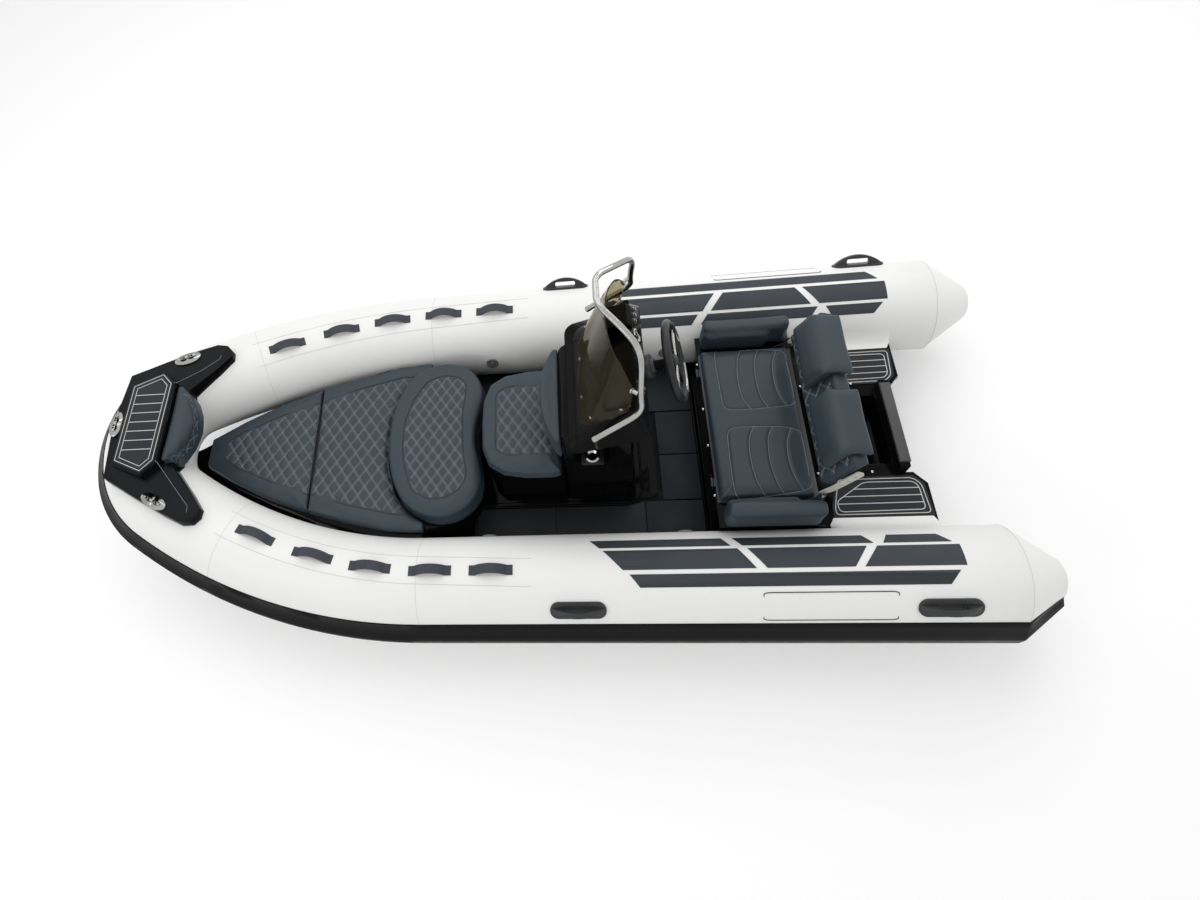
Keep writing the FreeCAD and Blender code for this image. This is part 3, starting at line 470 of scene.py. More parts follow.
def lineThrough(name, points, radius, closed=False, bent=False, resolution=3):
    # a round bead, seam or rod along points, as a mesh
    curve = bpy.data.curves.new(name, "CURVE")
    curve.dimensions = "3D"
    spline = addSpline(curve, "NURBS" if bent else "POLY", points, closed)
    if bent:
        spline.order_u = 3
        spline.use_endpoint_u = not closed
        spline.resolution_u = 6
    curve.bevel_depth = radius
    curve.bevel_resolution = resolution
    curve.use_fill_caps = not closed
    return asMesh(name, curve)


def surfaceOf(piece):
    mesh = piece.data
    return BVHTree.FromPolygons([v.co for v in mesh.vertices], [p.vertices[:] for p in mesh.polygons])


# buoyancy tube: one skin, spun round the same centres as the frame's tube

tube = {
    "radius": 0.235, "y": 0.735, "z": 0.300, "seamX": -2.050, "tipX": -2.275, "tipRadius": 0.068,
    "bendX": 0.540, "bendRadius": 2.377, "bendTurn": 34.9, "bendRise": 24.0, "cornerRadius": 0.350,
    "noseTurn": 17.0, "sides": 112, "tipRound": 0.040, "runSteps": 8, "bendSteps": 34, "cornerSteps": 22,
    "noseSteps": 12,
}


def bendInward():
    rise = math.radians(tube["bendRise"])
    return Vector((0, -math.cos(rise), math.sin(rise)))


def tubeCentres():
    ahead, inward = Vector((1, 0, 0)), bendInward()
    bendCentre = Vector((tube["bendX"], tube["y"], tube["z"])) + inward * tube["bendRadius"]
    turn = math.radians(tube["bendTurn"])
    cornerAt = bendCentre + ahead * tube["bendRadius"] * math.sin(turn) \
        - inward * tube["bendRadius"] * math.cos(turn)
    cornerAhead = ahead * math.cos(turn) + inward * math.sin(turn)
    cornerAxis = cornerAhead.cross(Vector((0, -1, 0))).normalized()
    whole = cornerAhead.angle(Vector((0, -1, 0)))
    nose = math.radians(tube["noseTurn"])
    cornerTurn = whole - nose
    cornerIn = cornerAxis.cross(cornerAhead)
    cornerCentre = cornerAt + cornerIn * tube["cornerRadius"]
    noseRadius = (cornerAt.y - tube["cornerRadius"] * (math.sin(whole) - math.sin(nose))) / math.sin(nose)
    noseAt = cornerCentre + (cornerAhead * math.sin(cornerTurn)
                             - cornerIn * math.cos(cornerTurn)) * tube["cornerRadius"]
    noseAhead = cornerAhead * math.cos(cornerTurn) + cornerIn * math.sin(cornerTurn)
    noseCentre = noseAt + cornerAxis.cross(noseAhead) * noseRadius
    return [(bendCentre, ahead.cross(inward), turn, tube["bendSteps"]),
            (cornerCentre, cornerAxis, cornerTurn, tube["cornerSteps"]),
            (noseCentre, cornerAxis, nose, tube["noseSteps"])]


def tubeFrame(x):
    # centre, direction and top of the tube at a station along x
    reach = max(0.0, x - tube["bendX"])
    turn = math.asin(min(1.0, reach / tube["bendRadius"]))
    inward = bendInward()
    ahead = Vector((1, 0, 0)) * math.cos(turn) + inward * math.sin(turn)
    centre = Vector((min(x, tube["bendX"]), tube["y"], tube["z"]))
    centre += Vector((1, 0, 0)) * reach + inward * tube["bendRadius"] * (1 - math.cos(turn))
    top = (Vector((0, 0, 1)) - ahead * ahead.z).normalized()
    return centre, ahead, top


def onTube(x, phi, lift=0.0):
    # a spot on the port tube and its normal: phi in degrees from its top line, outboard positive
    centre, ahead, top = tubeFrame(x)
    angle = math.radians(phi)
    radial = top * math.cos(angle) + top.cross(ahead) * math.sin(angle)
    return centre + radial * (tube["radius"] + lift), radial


def makeTubeSkin():
    bpy.ops.mesh.primitive_circle_add(vertices=tube["sides"], radius=tube["radius"],
                                      location=(tube["seamX"], tube["y"], tube["z"]),
                                      rotation=(0, math.pi / 2, 0))
    skin = settle(bpy.context.object, "tubeSkin")
    editing(skin)
    bpy.ops.mesh.select_all(action="SELECT")
    stride = (tube["bendX"] - tube["seamX"]) / tube["runSteps"]
    for step in range(tube["runSteps"]):
        bpy.ops.mesh.extrude_region_move(TRANSFORM_OT_translate={"value": (stride, 0, 0)})
    for centre, axis, turn, steps in tubeCentres():
        bpy.ops.mesh.spin(steps=steps, angle=-turn, center=centre, axis=axis)
    # the cone: rings drawn in towards a rounded tip
    selectWhere(skin, "VERT", lambda v: v.co.x < tube["seamX"] + 0.001)
    length = tube["seamX"] - tube["tipX"]
    end, tip = tube["tipRadius"], tube["tipRound"]
    now, nowRadius = 0.0, tube["radius"]
    for along, radius in ((length - tip * 0.55, end + 0.022), (length - tip * 0.2, end),
                          (length - 0.002, end - 0.018), (length, end - 0.040)):
        bpy.ops.mesh.extrude_region_move(TRANSFORM_OT_translate={"value": (now - along, 0, 0)})
        bpy.ops.transform.resize(value=(1, radius / nowRadius, radius / nowRadius),
                                 center_override=(tube["seamX"] - along, tube["y"], tube["z"]))
        now, nowRadius = along, radius
    bpy.ops.mesh.edge_face_add()
    doneEditing()
    skin = joinPieces([skin, mirrorCopy(skin, "tubeTwin")], "tubeSkin")
    editWhole(skin, (bpy.ops.mesh.remove_doubles, {"threshold": 0.0005}), outwards)
    wear(skin, "tubeCloth", "tube_fabric", instead=("tube_port", "tube_starboard", "tube_port_fore",
                                                    "tube_starboard_fore", "tube_bow"))


makeTubeSkin()
print("tube skin done")

# hard mouldings, each the frame's own form with softened edges: paint, slot, edge width and body

dressedNodes = {
    "hull": ("blackGelcoat", "black_gelcoat", 0.003),
    "deck": ("blackGelcoat", "black_gelcoat", 0.003),
    "stern_deck": ("blackGelcoat", "black_gelcoat", 0.003),
    "transom_cap": ("capGrey", "cap_grey", 0.002),
    "rubbing_strake": ("strakeRubber", "strake_rubber", 0.0),
    "strap_handles_port": ("strapWebbing", "webbing", 0.0),
    "strap_handles_starboard": ("strapWebbing", "webbing", 0.0),
    "side_handles_port": ("handleRubber", "handle_rubber", 0.002),
    "side_handles_starboard": ("handleRubber", "handle_rubber", 0.002),
    "grip_patches_port": ("gripRubber", "grip_rubber", 0.0),
    "grip_patches_starboard": ("gripRubber", "grip_rubber", 0.0),
    "bow_step": ("blackGelcoat", "step_gelcoat", 0.004),
    "bow_step_pad": ("deckFoam", "foam_deck", 0.001),
    "console_seat_box": ("blackGelcoat", "black_gelcoat", 0.003),
    "console_seat_lid": ("blackGelcoat", "black_gelcoat", 0.002, "console_lid"),
    "console_base": ("blackGelcoat", "black_gelcoat", 0.003),
    "console_cowl": ("blackGelcoat", "black_gelcoat", 0.006),
    "instrument_pod": ("blackGelcoat", "black_plastic", 0.003),
    "helm": ("blackPlastic", "black_plastic", 0.003),
    "fuel_filler": ("blackPlastic", "black_plastic", 0.002),
    "floor_pads": ("deckFoam", "foam_deck", 0.0015),
    "bench_box": ("blackGelcoat", "black_gelcoat", 0.003),
    "bench_lid": ("blackPlastic", "black_plastic", 0.001, "bench_top"),
    "platform_pads": ("deckFoam", "foam_deck", 0.001),
    "towing_eyes": ("stainless", "stainless", 0.0),
    "windscreen": ("smokedAcrylic", "smoked_acrylic", 0.0),
    "bow_cleats": ("stainless", "stainless", 0.0),
    "steering_wheel": ("wheelGrip", "black_plastic", 0.0, "wheel"),
}


def dressNode(node, paint, slot, edge, body="boat"):
    piece = nodeCopy(node, "dressed_" + node)
    if edge:
        addModifier(piece, "BEVEL", width=edge, segments=2, limit_method="ANGLE",
                    angle_limit=math.radians(38), use_clamp_overlap=True)
    return wear(piece, paint, slot, body, (node,))


for node, row in dressedNodes.items():
    dressNode(node, *row)
print("hard mouldings dressed:", len(dressedNodes))

# soft goods: every pad is puffed by cloth simulation from the form its CAD solid holds;
# voxel is the mesh's step, shrink comes off first, and cap is the furthest that a point may move

padColumns = ("node", "voxel", "shrink", "cap", "relax", "body")
padRows = {
    "bowCushionFore": ("bow_cushion_fore", 0.0095, 0.003, 0.008, 3, "boat"),
    "bowCushionAft": ("bow_cushion_aft", 0.0095, 0.003, 0.008, 3, "boat"),
    "kidneyCushion": ("kidney_cushion", 0.0095, 0.003, 0.009, 3, "boat"),
    "consoleSeatCushion": ("console_seat_cushion", 0.008, 0.004, 0.008, 3, "console_lid"),
    "consoleBolster": ("console_bolster", 0.006, 0.003, 0.006, 3, "boat"),
    "benchCushion": ("bench_cushion", 0.0085, 0.004, 0.008, 3, "bench_top"),
    "backrestPanel": ("backrest_panel", 0.009, 0.003, 0.006, 8, "backrest"),
    "backrestBolsters": ("backrest_bolsters", 0.008, 0.0, 0.008, 26, "backrest"),
    "bowBackrest": ("bow_backrest", 0.006, 0.001, 0.006, 7, "boat"),
}
padSpecs = {name: dict(zip(padColumns, row)) for name, row in padRows.items()}
armrestSpec = {
    "blocks": {"outer": ((-1.309, 0.457, 0.449), (-0.887, 0.523, 0.617)),
               "inner": ((-1.205, 0.432, 0.449), (-0.889, 0.474, 0.590))},
    "edge": 0.018, "voxel": 0.007, "cap": 0.005, "relax": 4, "node": "bench_armrests", "body": "boat",
}
clothRun = {"pressure": 4.0, "frames": 20, "pinBand": 0.010}


def remeshed(piece, voxel, shrink):
    editWhole(piece, (bpy.ops.transform.shrink_fatten, {"value": -shrink}))
    addModifier(piece, "REMESH", mode="VOXEL", voxel_size=voxel)
    return piece


def roundedBlock(name, low, high, edge, segments=4):
    size = Vector(high) - Vector(low)
    bpy.ops.mesh.primitive_cube_add(size=1, location=(Vector(high) + Vector(low)) / 2, scale=size)
    block = settle(bpy.context.object, name)
    editWhole(block, (bpy.ops.mesh.bevel, {"offset": edge, "segments": segments, "affect": "EDGES"}))
    return block


def swellPads(pads):
    # pads: (piece, cap); what rests on something is pinned
    scene = bpy.context.scene
    scene.frame_start = 1
    scene.frame_end = clothRun["frames"]
    for piece, cap in pads:
        floorLevel = min(v.co.z for v in piece.data.vertices)
        pin = piece.vertex_groups.new(name="resting")
        resting = [v.index for v in piece.data.vertices if v.co.z < floorLevel + clothRun["pinBand"]]
        pin.add(resting, 1.0, "REPLACE")
        pick(piece)
        bpy.ops.object.modifier_add(type="CLOTH")
        cloth = piece.modifiers[-1]
        cloth.settings.vertex_group_mass = "resting"
        cloth.settings.use_pressure = True
        cloth.settings.uniform_pressure_force = clothRun["pressure"]
        cloth.settings.effector_weights.gravity = 0.0
        cloth.settings.quality = 4
        cloth.point_cache.frame_end = clothRun["frames"]
    for moment in range(1, clothRun["frames"] + 1):
        scene.frame_set(moment)
    graph = bpy.context.evaluated_depsgraph_get()
    for piece, cap in pads:
        puffed = [v.co.copy() for v in piece.evaluated_get(graph).data.vertices]
        piece.modifiers.clear()
        piece.vertex_groups.clear()
        for v, goal in zip(piece.data.vertices, puffed):
            step = goal - v.co
            v.co += step * min(1.0, cap / max(step.length, 1e-6))
    scene.frame_set(1)


def makePads():
    made = {name: remeshed(nodeCopy(spec["node"], name), spec["voxel"], spec["shrink"])
            for name, spec in padSpecs.items()}
    blocks = [roundedBlock("armrest_" + label, *corners, armrestSpec["edge"])
              for label, corners in armrestSpec["blocks"].items()]
    made["armrestPort"] = remeshed(joinPieces(blocks, "armrestPort"), armrestSpec["voxel"], 0.0)
    swellPads([(piece, padSpecs.get(name, armrestSpec)["cap"]) for name, piece in made.items()])
    for name, piece in made.items():
        rounds = padSpecs.get(name, armrestSpec)["relax"]
        editWhole(piece, (bpy.ops.mesh.vertices_smooth, {"factor": 0.5, "repeat": rounds}))
        addModifier(piece, "SUBSURF", levels=1, render_levels=1)
    made["armrestStarboard"] = mirrorCopy(made["armrestPort"], "armrestStarboard")
    return made


def closeSeam(front, back, gap=0.0015, reach=0.045):
    # draw two neighbouring cushions together until only a tight seam is left
    low = min(v.co.x for v in front.data.vertices)
    high = max(v.co.x for v in back.data.vertices)
    shift = max(0.0, (low - high - gap) / 2)
    for v in front.data.vertices:
        v.co.x -= shift * max(0.0, 1 - (v.co.x - low) / reach)
    for v in back.data.vertices:
        v.co.x += shift * max(0.0, 1 - (high - v.co.x) / reach)


soft = makePads()
closeSeam(soft["bowCushionFore"], soft["bowCushionAft"])
print("pads puffed")

# plan outlines and threads


def insideBy(x, y, outline):
    # distance from a closed plan outline, positive inside it
    best = 1e9
    inside = False
    ax, ay = outline[-1]
    for bx, by in outline:
        if (ay > y) != (by > y) and x < (bx - ax) * (y - ay) / (by - ay) + ax:
            inside = not inside
        dx, dy = bx - ax, by - ay
        share = max(0.0, min(1.0, ((x - ax) * dx + (y - ay) * dy) / (dx * dx + dy * dy)))
        best = min(best, (x - ax - share * dx) ** 2 + (y - ay - share * dy) ** 2)
        ax, ay = bx, by
    return math.sqrt(best) if inside else -math.sqrt(best)


def nearestOn(x, y, outline):
    spots = []
    ax, ay = outline[-1]
    for bx, by in outline:
        dx, dy = bx - ax, by - ay
        share = max(0.0, min(1.0, ((x - ax) * dx + (y - ay) * dy) / (dx * dx + dy * dy)))
        spots.append((ax + share * dx, ay + share * dy))
        ax, ay = bx, by
    return min(spots, key=lambda spot: (x - spot[0]) ** 2 + (y - spot[1]) ** 2)


def eased(value):
    value = max(0.0, min(1.0, value))
    return value * value * (3 - 2 * value)


def roundedOutline(points, radius=0.03, steps=5):
    # a closed outline with each corner eased by an arc-like curve
    out = []
    count = len(points)
    for index in range(count):
        before, here, after = (Vector((*points[(index + k) % count], 0)) for k in (-1, 0, 1))
        back = (before - here).normalized() * min(radius, (before - here).length * 0.45)
        on = (after - here).normalized() * min(radius, (after - here).length * 0.45)
        for step in range(steps + 1):
            t = step / steps
            spot = (here + back) * (1 - t) ** 2 + here * 2 * t * (1 - t) + (here + on) * t * t
            out.append((spot.x, spot.y))
    return out


def insetOutline(points, gap):
    # the same closed outline moved inwards; points run round it either way
    count = len(points)
    area = sum(points[i][0] * points[(i + 1) % count][1] - points[(i + 1) % count][0] * points[i][1]
               for i in range(count))
    sign = 1 if area > 0 else -1
    out = []
    for i in range(count):
        a, b, c = (Vector(points[(i + k) % count]) for k in (-1, 0, 1))
        first, second = (b - a).normalized(), (c - b).normalized()
        inFirst, inSecond = (Vector((-way.y, way.x)) * sign for way in (first, second))
        mid = (inFirst + inSecond).normalized()
        spot = b + mid * gap / max(0.3, mid.dot(inFirst))
        out.append((spot.x, spot.y))
    return out


def curvedLine(points, closed=False, steps=8):
    # a smooth line through points, Catmull-Rom fashion
    count = len(points)
    out = []
    for index in range(count if closed else count - 1):
        spots = []
        for k in (-1, 0, 1, 2):
            at = (index + k) % count if closed else max(0, min(count - 1, index + k))
            spots.append(Vector(points[at]))
        a, b, c, d = spots
        for step in range(steps):
            t = step / steps
            out.append(0.5 * (b * 2 + (c - a) * t + (a * 2 - b * 5 + c * 4 - d) * t * t
                              + (b * 3 - a - c * 3 + d) * t ** 3))
    if not closed:
        out.append(Vector(points[-1]))
    return out


def spaced(points, step):
    # the same line with its points a fixed step apart
    line = [Vector(p) for p in points]
    out = [line[0].copy()]
    left = step
    for a, b in zip(line, line[1:]):
        length = (b - a).length
        at = left
        while at <= length:
            out.append(a.lerp(b, at / length))
            at += step
        left = at - length
    return out


def landOn(surface, spot, aim=(0, 0, -1)):
    # where a needle pushed along aim meets the cloth, and the cloth's normal there
    aim = Vector(aim)
    where, normal = surface.ray_cast(spot - aim * 0.08, aim)[:2]
    if where is None or (where - spot).length > 0.12:
        where, normal = surface.find_nearest(spot)[:2]
    return where, normal


threads = {"lift": 0.0005, "sink": 0.0008, "taper": 0.6}


def sewRows(name, rows, onto, width, pitch, share, body="boat", aim=(0, 0, -1)):
    # every stitch is a small tapered bead laid on the surface below it
    verts, faces = [], []
    for row in rows:
        spots = spaced(row, pitch)
        for a, b in zip(spots, spots[1:]):
            if (b - a).length < pitch * 0.5:
                continue
            ends = [landOn(onto, a.lerp(b, t), aim) for t in (0.5 - share / 2, 0.5, 0.5 + share / 2)]
            along = (ends[2][0] - ends[0][0]).normalized()
            start = len(verts)
            for index, (where, normal) in enumerate(ends):
                half = width / 2 * (1.0 if index == 1 else threads["taper"])
                across = normal.cross(along).normalized() * half
                low = where - normal * threads["sink"]
                high = where + normal * (threads["lift"] + (width * 0.5 if index == 1 else 0.0))
                verts += [low + across, low - across, high - across * threads["taper"],
                          high + across * threads["taper"]]
            for ring in (0, 4):
                for k in range(4):
                    one, two = start + ring + k, start + ring + (k + 1) % 4
                    faces.append((one, one + 4, two + 4, two))
            faces.append((start, start + 1, start + 2, start + 3))
            faces.append((start + 11, start + 10, start + 9, start + 8))
    return wear(meshPiece(name, verts, faces), "stitchThread", "upholstery", body, smooth=0)


def pressSeams(piece, lines, depth, spread, plan=None):
    # press grooves along lines on a pad; above the level plan, where it's given, they go straight down
    dots = [dot for line in lines for dot in spaced(line, spread * 0.25)]
    near = KDTree(len(dots))
    for index, dot in enumerate(dots):
        near.insert(Vector((dot.x, dot.y, 0)) if plan else dot, index)
    near.balance()
    moves = []
    for v in piece.data.vertices:
        if plan and v.co.z < plan:
            continue
        gap = near.find(Vector((v.co.x, v.co.y, 0)) if plan else v.co)[2]
        if gap < spread * 2.2:
            way = Vector((0, 0, 1)) if plan else v.normal.copy()
            moves.append((v.index, way * depth * math.exp(-(gap / spread) ** 2)))
    for index, move in moves:
        piece.data.vertices[index].co -= move


# quilted panels: a diamond lattice, set into the top of a cushion inside a sewn rim

quilts = {
    "foreQuilt": {"base": "bowCushionFore", "pitch": (0.067, 0.097), "centre": (1.172, 0.0), "level": 0.42,
                  "outline": [(1.188, -0.262), (1.393, -0.186), (1.604, -0.095), (1.680, -0.040),
                              (1.680, 0.040), (1.604, 0.095), (1.393, 0.186), (1.188, 0.262)],
                  "corner": 0.022},
    "aftQuilt": {"base": "bowCushionAft", "pitch": (0.067, 0.097), "centre": (1.172, 0.0), "level": 0.42,
                 "outline": [(1.156, 0.266), (0.953, 0.332), (0.700, 0.392), (0.655, 0.392), (0.716, 0.300),
                             (0.758, 0.150), (0.771, 0.0), (0.758, -0.150), (0.716, -0.300), (0.655, -0.392),
                             (0.700, -0.392), (0.953, -0.332), (1.156, -0.266)],
                 "corner": 0.018},
    "kidneyQuilt": {"base": "kidneyCushion", "pitch": (0.058, 0.084), "centre": (0.500, 0.0), "level": 0.49,
                    "outline": [(0.459, -0.342), (0.382, -0.328), (0.346, -0.287), (0.350, -0.210),
                                (0.362, -0.130), (0.361, 0.0), (0.350, 0.130), (0.330, 0.235),
                                (0.359, 0.298), (0.428, 0.340), (0.513, 0.344), (0.588, 0.297),
                                (0.630, 0.190), (0.650, 0.080), (0.652, -0.068), (0.612, -0.206),
                                (0.540, -0.315)],
                    "corner": 0.03},
    "seatQuilt": {"base": "consoleSeatCushion", "pitch": (0.055, 0.084), "centre": (0.02, 0.0), "level": 0.62,
                  "outline": [(0.150, -0.150), (0.150, 0.150), (0.100, 0.182), (-0.150, 0.182),
                              (-0.150, -0.182), (0.100, -0.182)],
                  "corner": 0.03},
}
quiltForm = {
    "cells": 8, "recess": 0.007, "ramp": 0.014, "puff": 0.0055, "rise": 0.0012, "riseRamp": 0.010,
    "tuck": 0.0025, "spread": 0.011, "rowGap": 0.0038, "margin": 0.004, "bead": 0.0028, "beadSink": 0.0006,
}


def quiltPanel(name, spec):
    base = soft[spec["base"]]
    body = padSpecs[spec["base"]]["body"]
    outline = roundedOutline(insetOutline(spec["outline"], -quiltForm["spread"]), spec["corner"])
    under = surfaceOf(base)
    lowX, highX = min(p[0] for p in outline), max(p[0] for p in outline)
    lowY, highY = min(p[1] for p in outline), max(p[1] for p in outline)
    (px, py), (cx, cy) = spec["pitch"], spec["centre"]

    def within(x, y):
        return lowX < x < highX and lowY < y < highY

    def topAt(x, y):
        hit = under.ray_cast(Vector((x, y, spec["level"] + 0.2)), Vector((0, 0, -1)))[0]
        return hit.z if hit else spec["level"]

    def sunk(depth):
        return quiltForm["recess"] * eased(depth / quiltForm["ramp"])

    def lattice(x, y):
        return (x - cx) / px + (y - cy) / py, (x - cx) / px - (y - cy) / py

    def plan(u, w):
        return cx + (u + w) * px / 2, cy + (u - w) * py / 2

    for v in base.data.vertices:
        if v.co.z > spec["level"] - 0.03 and within(v.co.x, v.co.y):
            depth = insideBy(v.co.x, v.co.y, outline)
            if depth > 0:
                v.co.z -= sunk(depth)

    # a grid turned onto the lattice, cut to the outline and puffed between its lines
    cells = quiltForm["cells"]
    count = 2 * math.ceil(max((highX - lowX + 0.1) / px, (highY - lowY + 0.1) / py)) + 2
    bpy.ops.mesh.primitive_grid_add(x_subdivisions=count * cells, y_subdivisions=count * cells, size=1)
    panel = settle(bpy.context.object, name)
    steps = round(math.sqrt(len(panel.data.vertices))) - 1
    shift = round(((lowX + highX) / 2 - cx) / px) - count // 2
    for v in panel.data.vertices:
        u, w = ((part + 0.5) * steps / cells + shift for part in v.co[:2])
        v.co = Vector((*plan(u, w), 0))
    editing(panel)
    mesh = bmesh.from_edit_mesh(panel.data)
    outside = []
    for f in mesh.faces:
        x, y = f.calc_center_median()[:2]
        if not within(x, y) or insideBy(x, y, outline) < 0.001:
            outside.append(f)
    bmesh.ops.delete(mesh, geom=outside, context="FACES")
    for v in mesh.verts:
        if v.is_boundary:
            v.co.x, v.co.y = nearestOn(v.co.x, v.co.y, outline)
    for v in mesh.verts:
        depth = insideBy(v.co.x, v.co.y, outline)
        u, w = lattice(v.co.x, v.co.y)
        puff = (abs(math.sin(math.pi * u)) * abs(math.sin(math.pi * w))) ** 0.45
        rise = eased(depth / quiltForm["riseRamp"])
        v.co.z = topAt(v.co.x, v.co.y) - sunk(depth) \
            + rise * (quiltForm["rise"] + quiltForm["puff"] * puff) - quiltForm["tuck"] * (1 - rise)
    bmesh.update_edit_mesh(panel.data)
    doneEditing()
    editWhole(panel, outwards)
    if sum(p.normal.z for p in panel.data.polygons) < 0:
        panel.data.flip_normals()
    wear(panel, "seatVinyl", "upholstery", body, smooth=70)

    # two rows of thread run beside every line of the lattice
    rows = []
    corners = [lattice(x, y) for x in (lowX, highX) for y in (lowY, highY)]
    first = math.floor(min(min(c) for c in corners))
    last = math.ceil(max(max(c) for c in corners))
    aside = quiltForm["rowGap"] / (px * py / math.hypot(px, py))
    steps = (last - first) * 9
    for line in range(first, last + 1):
        for kind in (1, -1):
            for offset in (-aside, aside):
                run = []
                for step in range(steps + 1):
                    other = first + (last - first) * step / steps
                    x, y = plan(line + offset, other) if kind == 1 else plan(other, line + offset)
                    if within(x, y) and insideBy(x, y, outline) > quiltForm["margin"]:
                        run.append(Vector((x, y, spec["level"])))
                        continue
                    rows.append(run)
                    run = []
                rows.append(run)
    rows = [run for run in rows if len(run) > 1]
    sewRows(name + "Stitches", rows, surfaceOf(panel), width=0.0021, pitch=0.0110, share=0.76, body=body)
    # the rim is a real seam bead, painted near-black as the shadow of the crease round the quilt
    rim = [(x, y, topAt(x, y) - quiltForm["beadSink"]) for x, y in outline]
    wear(lineThrough(name + "Seam", rim, quiltForm["bead"], closed=True), "seamCreaseShadow", "upholstery", body)


for name, spec in quilts.items():
    quiltPanel(name, spec)
print("quilted panels sewn")

for name, piece in soft.items():
    spec = padSpecs.get(name, armrestSpec)
    wear(piece, "seatVinyl", "upholstery", spec["body"], (spec["node"],), smooth=60)

# bench seats: sewn channels pressed into the puffed pad, then stitched

benchSeats = {
    "outline": [(-0.944, 0.150), (-0.950, 0.075), (-0.980, 0.050), (-1.070, 0.047), (-1.240, 0.060),
                (-1.288, 0.092), (-1.301, 0.160), (-1.296, 0.270), (-1.282, 0.352), (-1.245, 0.374),
                (-1.160, 0.388), (-1.015, 0.400), (-0.962, 0.398), (-0.943, 0.370), (-0.941, 0.270)],
    "channels": [[(-1.073, 0.047), (-1.042, 0.112), (-1.035, 0.226), (-1.049, 0.335), (-1.077, 0.396)],
                 [(-1.152, 0.054), (-1.127, 0.115), (-1.119, 0.227), (-1.132, 0.330), (-1.158, 0.388)],
                 [(-1.240, 0.062), (-1.210, 0.129), (-1.202, 0.220), (-1.215, 0.315), (-1.243, 0.376)]],
    "depth": 0.0045, "spread": 0.0065, "level": 0.525,
}


def sewBenchSeats():
    pad = soft["benchCushion"]
    rows = []
    for side in (1, -1):
        loop = curvedLine([(x, side * y) for x, y in benchSeats["outline"]], closed=True, steps=5)
        rows.append(loop + loop[:1])
        for channel in benchSeats["channels"]:
            rows.append(curvedLine([(x, side * y) for x, y in channel]))
    flat = [[Vector((*p[:2], 0)) for p in row] for row in rows]
    pressSeams(pad, flat, benchSeats["depth"], benchSeats["spread"], plan=benchSeats["level"] - 0.03)
    above = [[Vector((*p[:2], benchSeats["level"] + 0.01)) for p in row] for row in rows]
    sewRows("benchSeatStitches", above, surfaceOf(pad), width=0.0024, pitch=0.0095, share=0.74,
            body="bench_top")


sewBenchSeats()

# pads for the feet: white lines let into dark foam

padLines = {
    "width": 0.0042,
    "step": {"level": 0.806, "outline": [(2.076, 0.219), (1.913, 0.287), (1.850, 0.223)],
             "insets": (0.009, 0.030), "planks": 7, "spacing": 0.0525, "from": 1.884, "to": 2.044},
    "platform": {"level": 0.344, "outline": [(-1.440, 0.250), (-1.782, 0.250), (-1.822, 0.290),
                                             (-1.834, 0.450), (-1.400, 0.450), (-1.400, 0.400)],
                 "inset": 0.013, "corner": 0.02,
                 "inner": [(-1.560, 0.279), (-1.775, 0.281), (-1.796, 0.305), (-1.801, 0.420),
                           (-1.430, 0.424), (-1.425, 0.372)],
                 "innerCorner": 0.022, "planks": (0.313, 0.349, 0.385), "millimetres": (-1840, -1390)},
}


def inlay(name, points, level, closed=True):
    line = lineThrough(name, [(x, y, level) for x, y in points], padLines["width"] / 2, closed=closed,
                       resolution=2)
    editWhole(line, (bpy.ops.transform.resize, {"value": (1, 1, 0.35), "center_override": (0, 0, level)}))
    return line


def makeStepLines():
    spec = padLines["step"]
    whole = [(x, -y) for x, y in spec["outline"]] + [(x, y) for x, y in reversed(spec["outline"])]
    lines = [inlay("stepLine", insetOutline(whole, gap), spec["level"]) for gap in spec["insets"]]
    for index in range(spec["planks"]):
        y = (index - (spec["planks"] - 1) / 2) * spec["spacing"]
        lines.append(inlay("stepPlank", [(spec["from"], y), (spec["to"], y)], spec["level"], closed=False))
    wear(joinPieces(lines, "stepPadLines"), "inlayWhite", "foam_deck")


def makePlatformLines(side, label):
    spec = padLines["platform"]
    outline, inner = ([(x, side * y) for x, y in spec[key]] for key in ("outline", "inner"))
    rim = roundedOutline(insetOutline(outline, spec["inset"]), spec["corner"])
    inner = roundedOutline(inner, spec["innerCorner"])
    lines = [inlay("rim", rim, spec["level"]), inlay("inner", inner, spec["level"])]
    for y in spec["planks"]:
        across = [k * 0.001 for k in range(*spec["millimetres"]) if insideBy(k * 0.001, side * y, inner) > 0]
        ends = [(across[0], side * y), (across[-1], side * y)]
        lines.append(inlay("plank", ends, spec["level"], closed=False))
    wear(joinPieces(lines, "platformLines" + label), "inlayWhite", "foam_deck")


makeStepLines()
makePlatformLines(1, "Port")
makePlatformLines(-1, "Starboard")
print("bench seats sewn, pad lines laid")

# seams and welded patches on the tubes, drawn by station along x and angle from the tube's top line

tubeSeams = {
    "bead": 0.0011, "rings": (-2.050, 0.540, 1.543),
    "plate": {"centre": (-1.27, 42.2), "half": (0.27, 16.2), "bead": 0.0022},
    "strapStations": ((0.186, -1.7), (0.474, -2.2), (0.776, -4.9), (1.080, -8.7), (1.396, -12.8)),
    "strapPatch": (0.118, 9.5), "handleStations": (-0.205, -1.738), "handlePatch": (0.150, 15.0),
    "handlePhi": 43.5, "doublers": {"doublerLine": (17.0, -0.45), "doublerLow": (-15.0, -0.55)},
    "doublerStep": 0.0525, "lift": 0.0009, "sink": 0.0002, "patchRamp": 0.004, "patchFoot": 0.15,
}


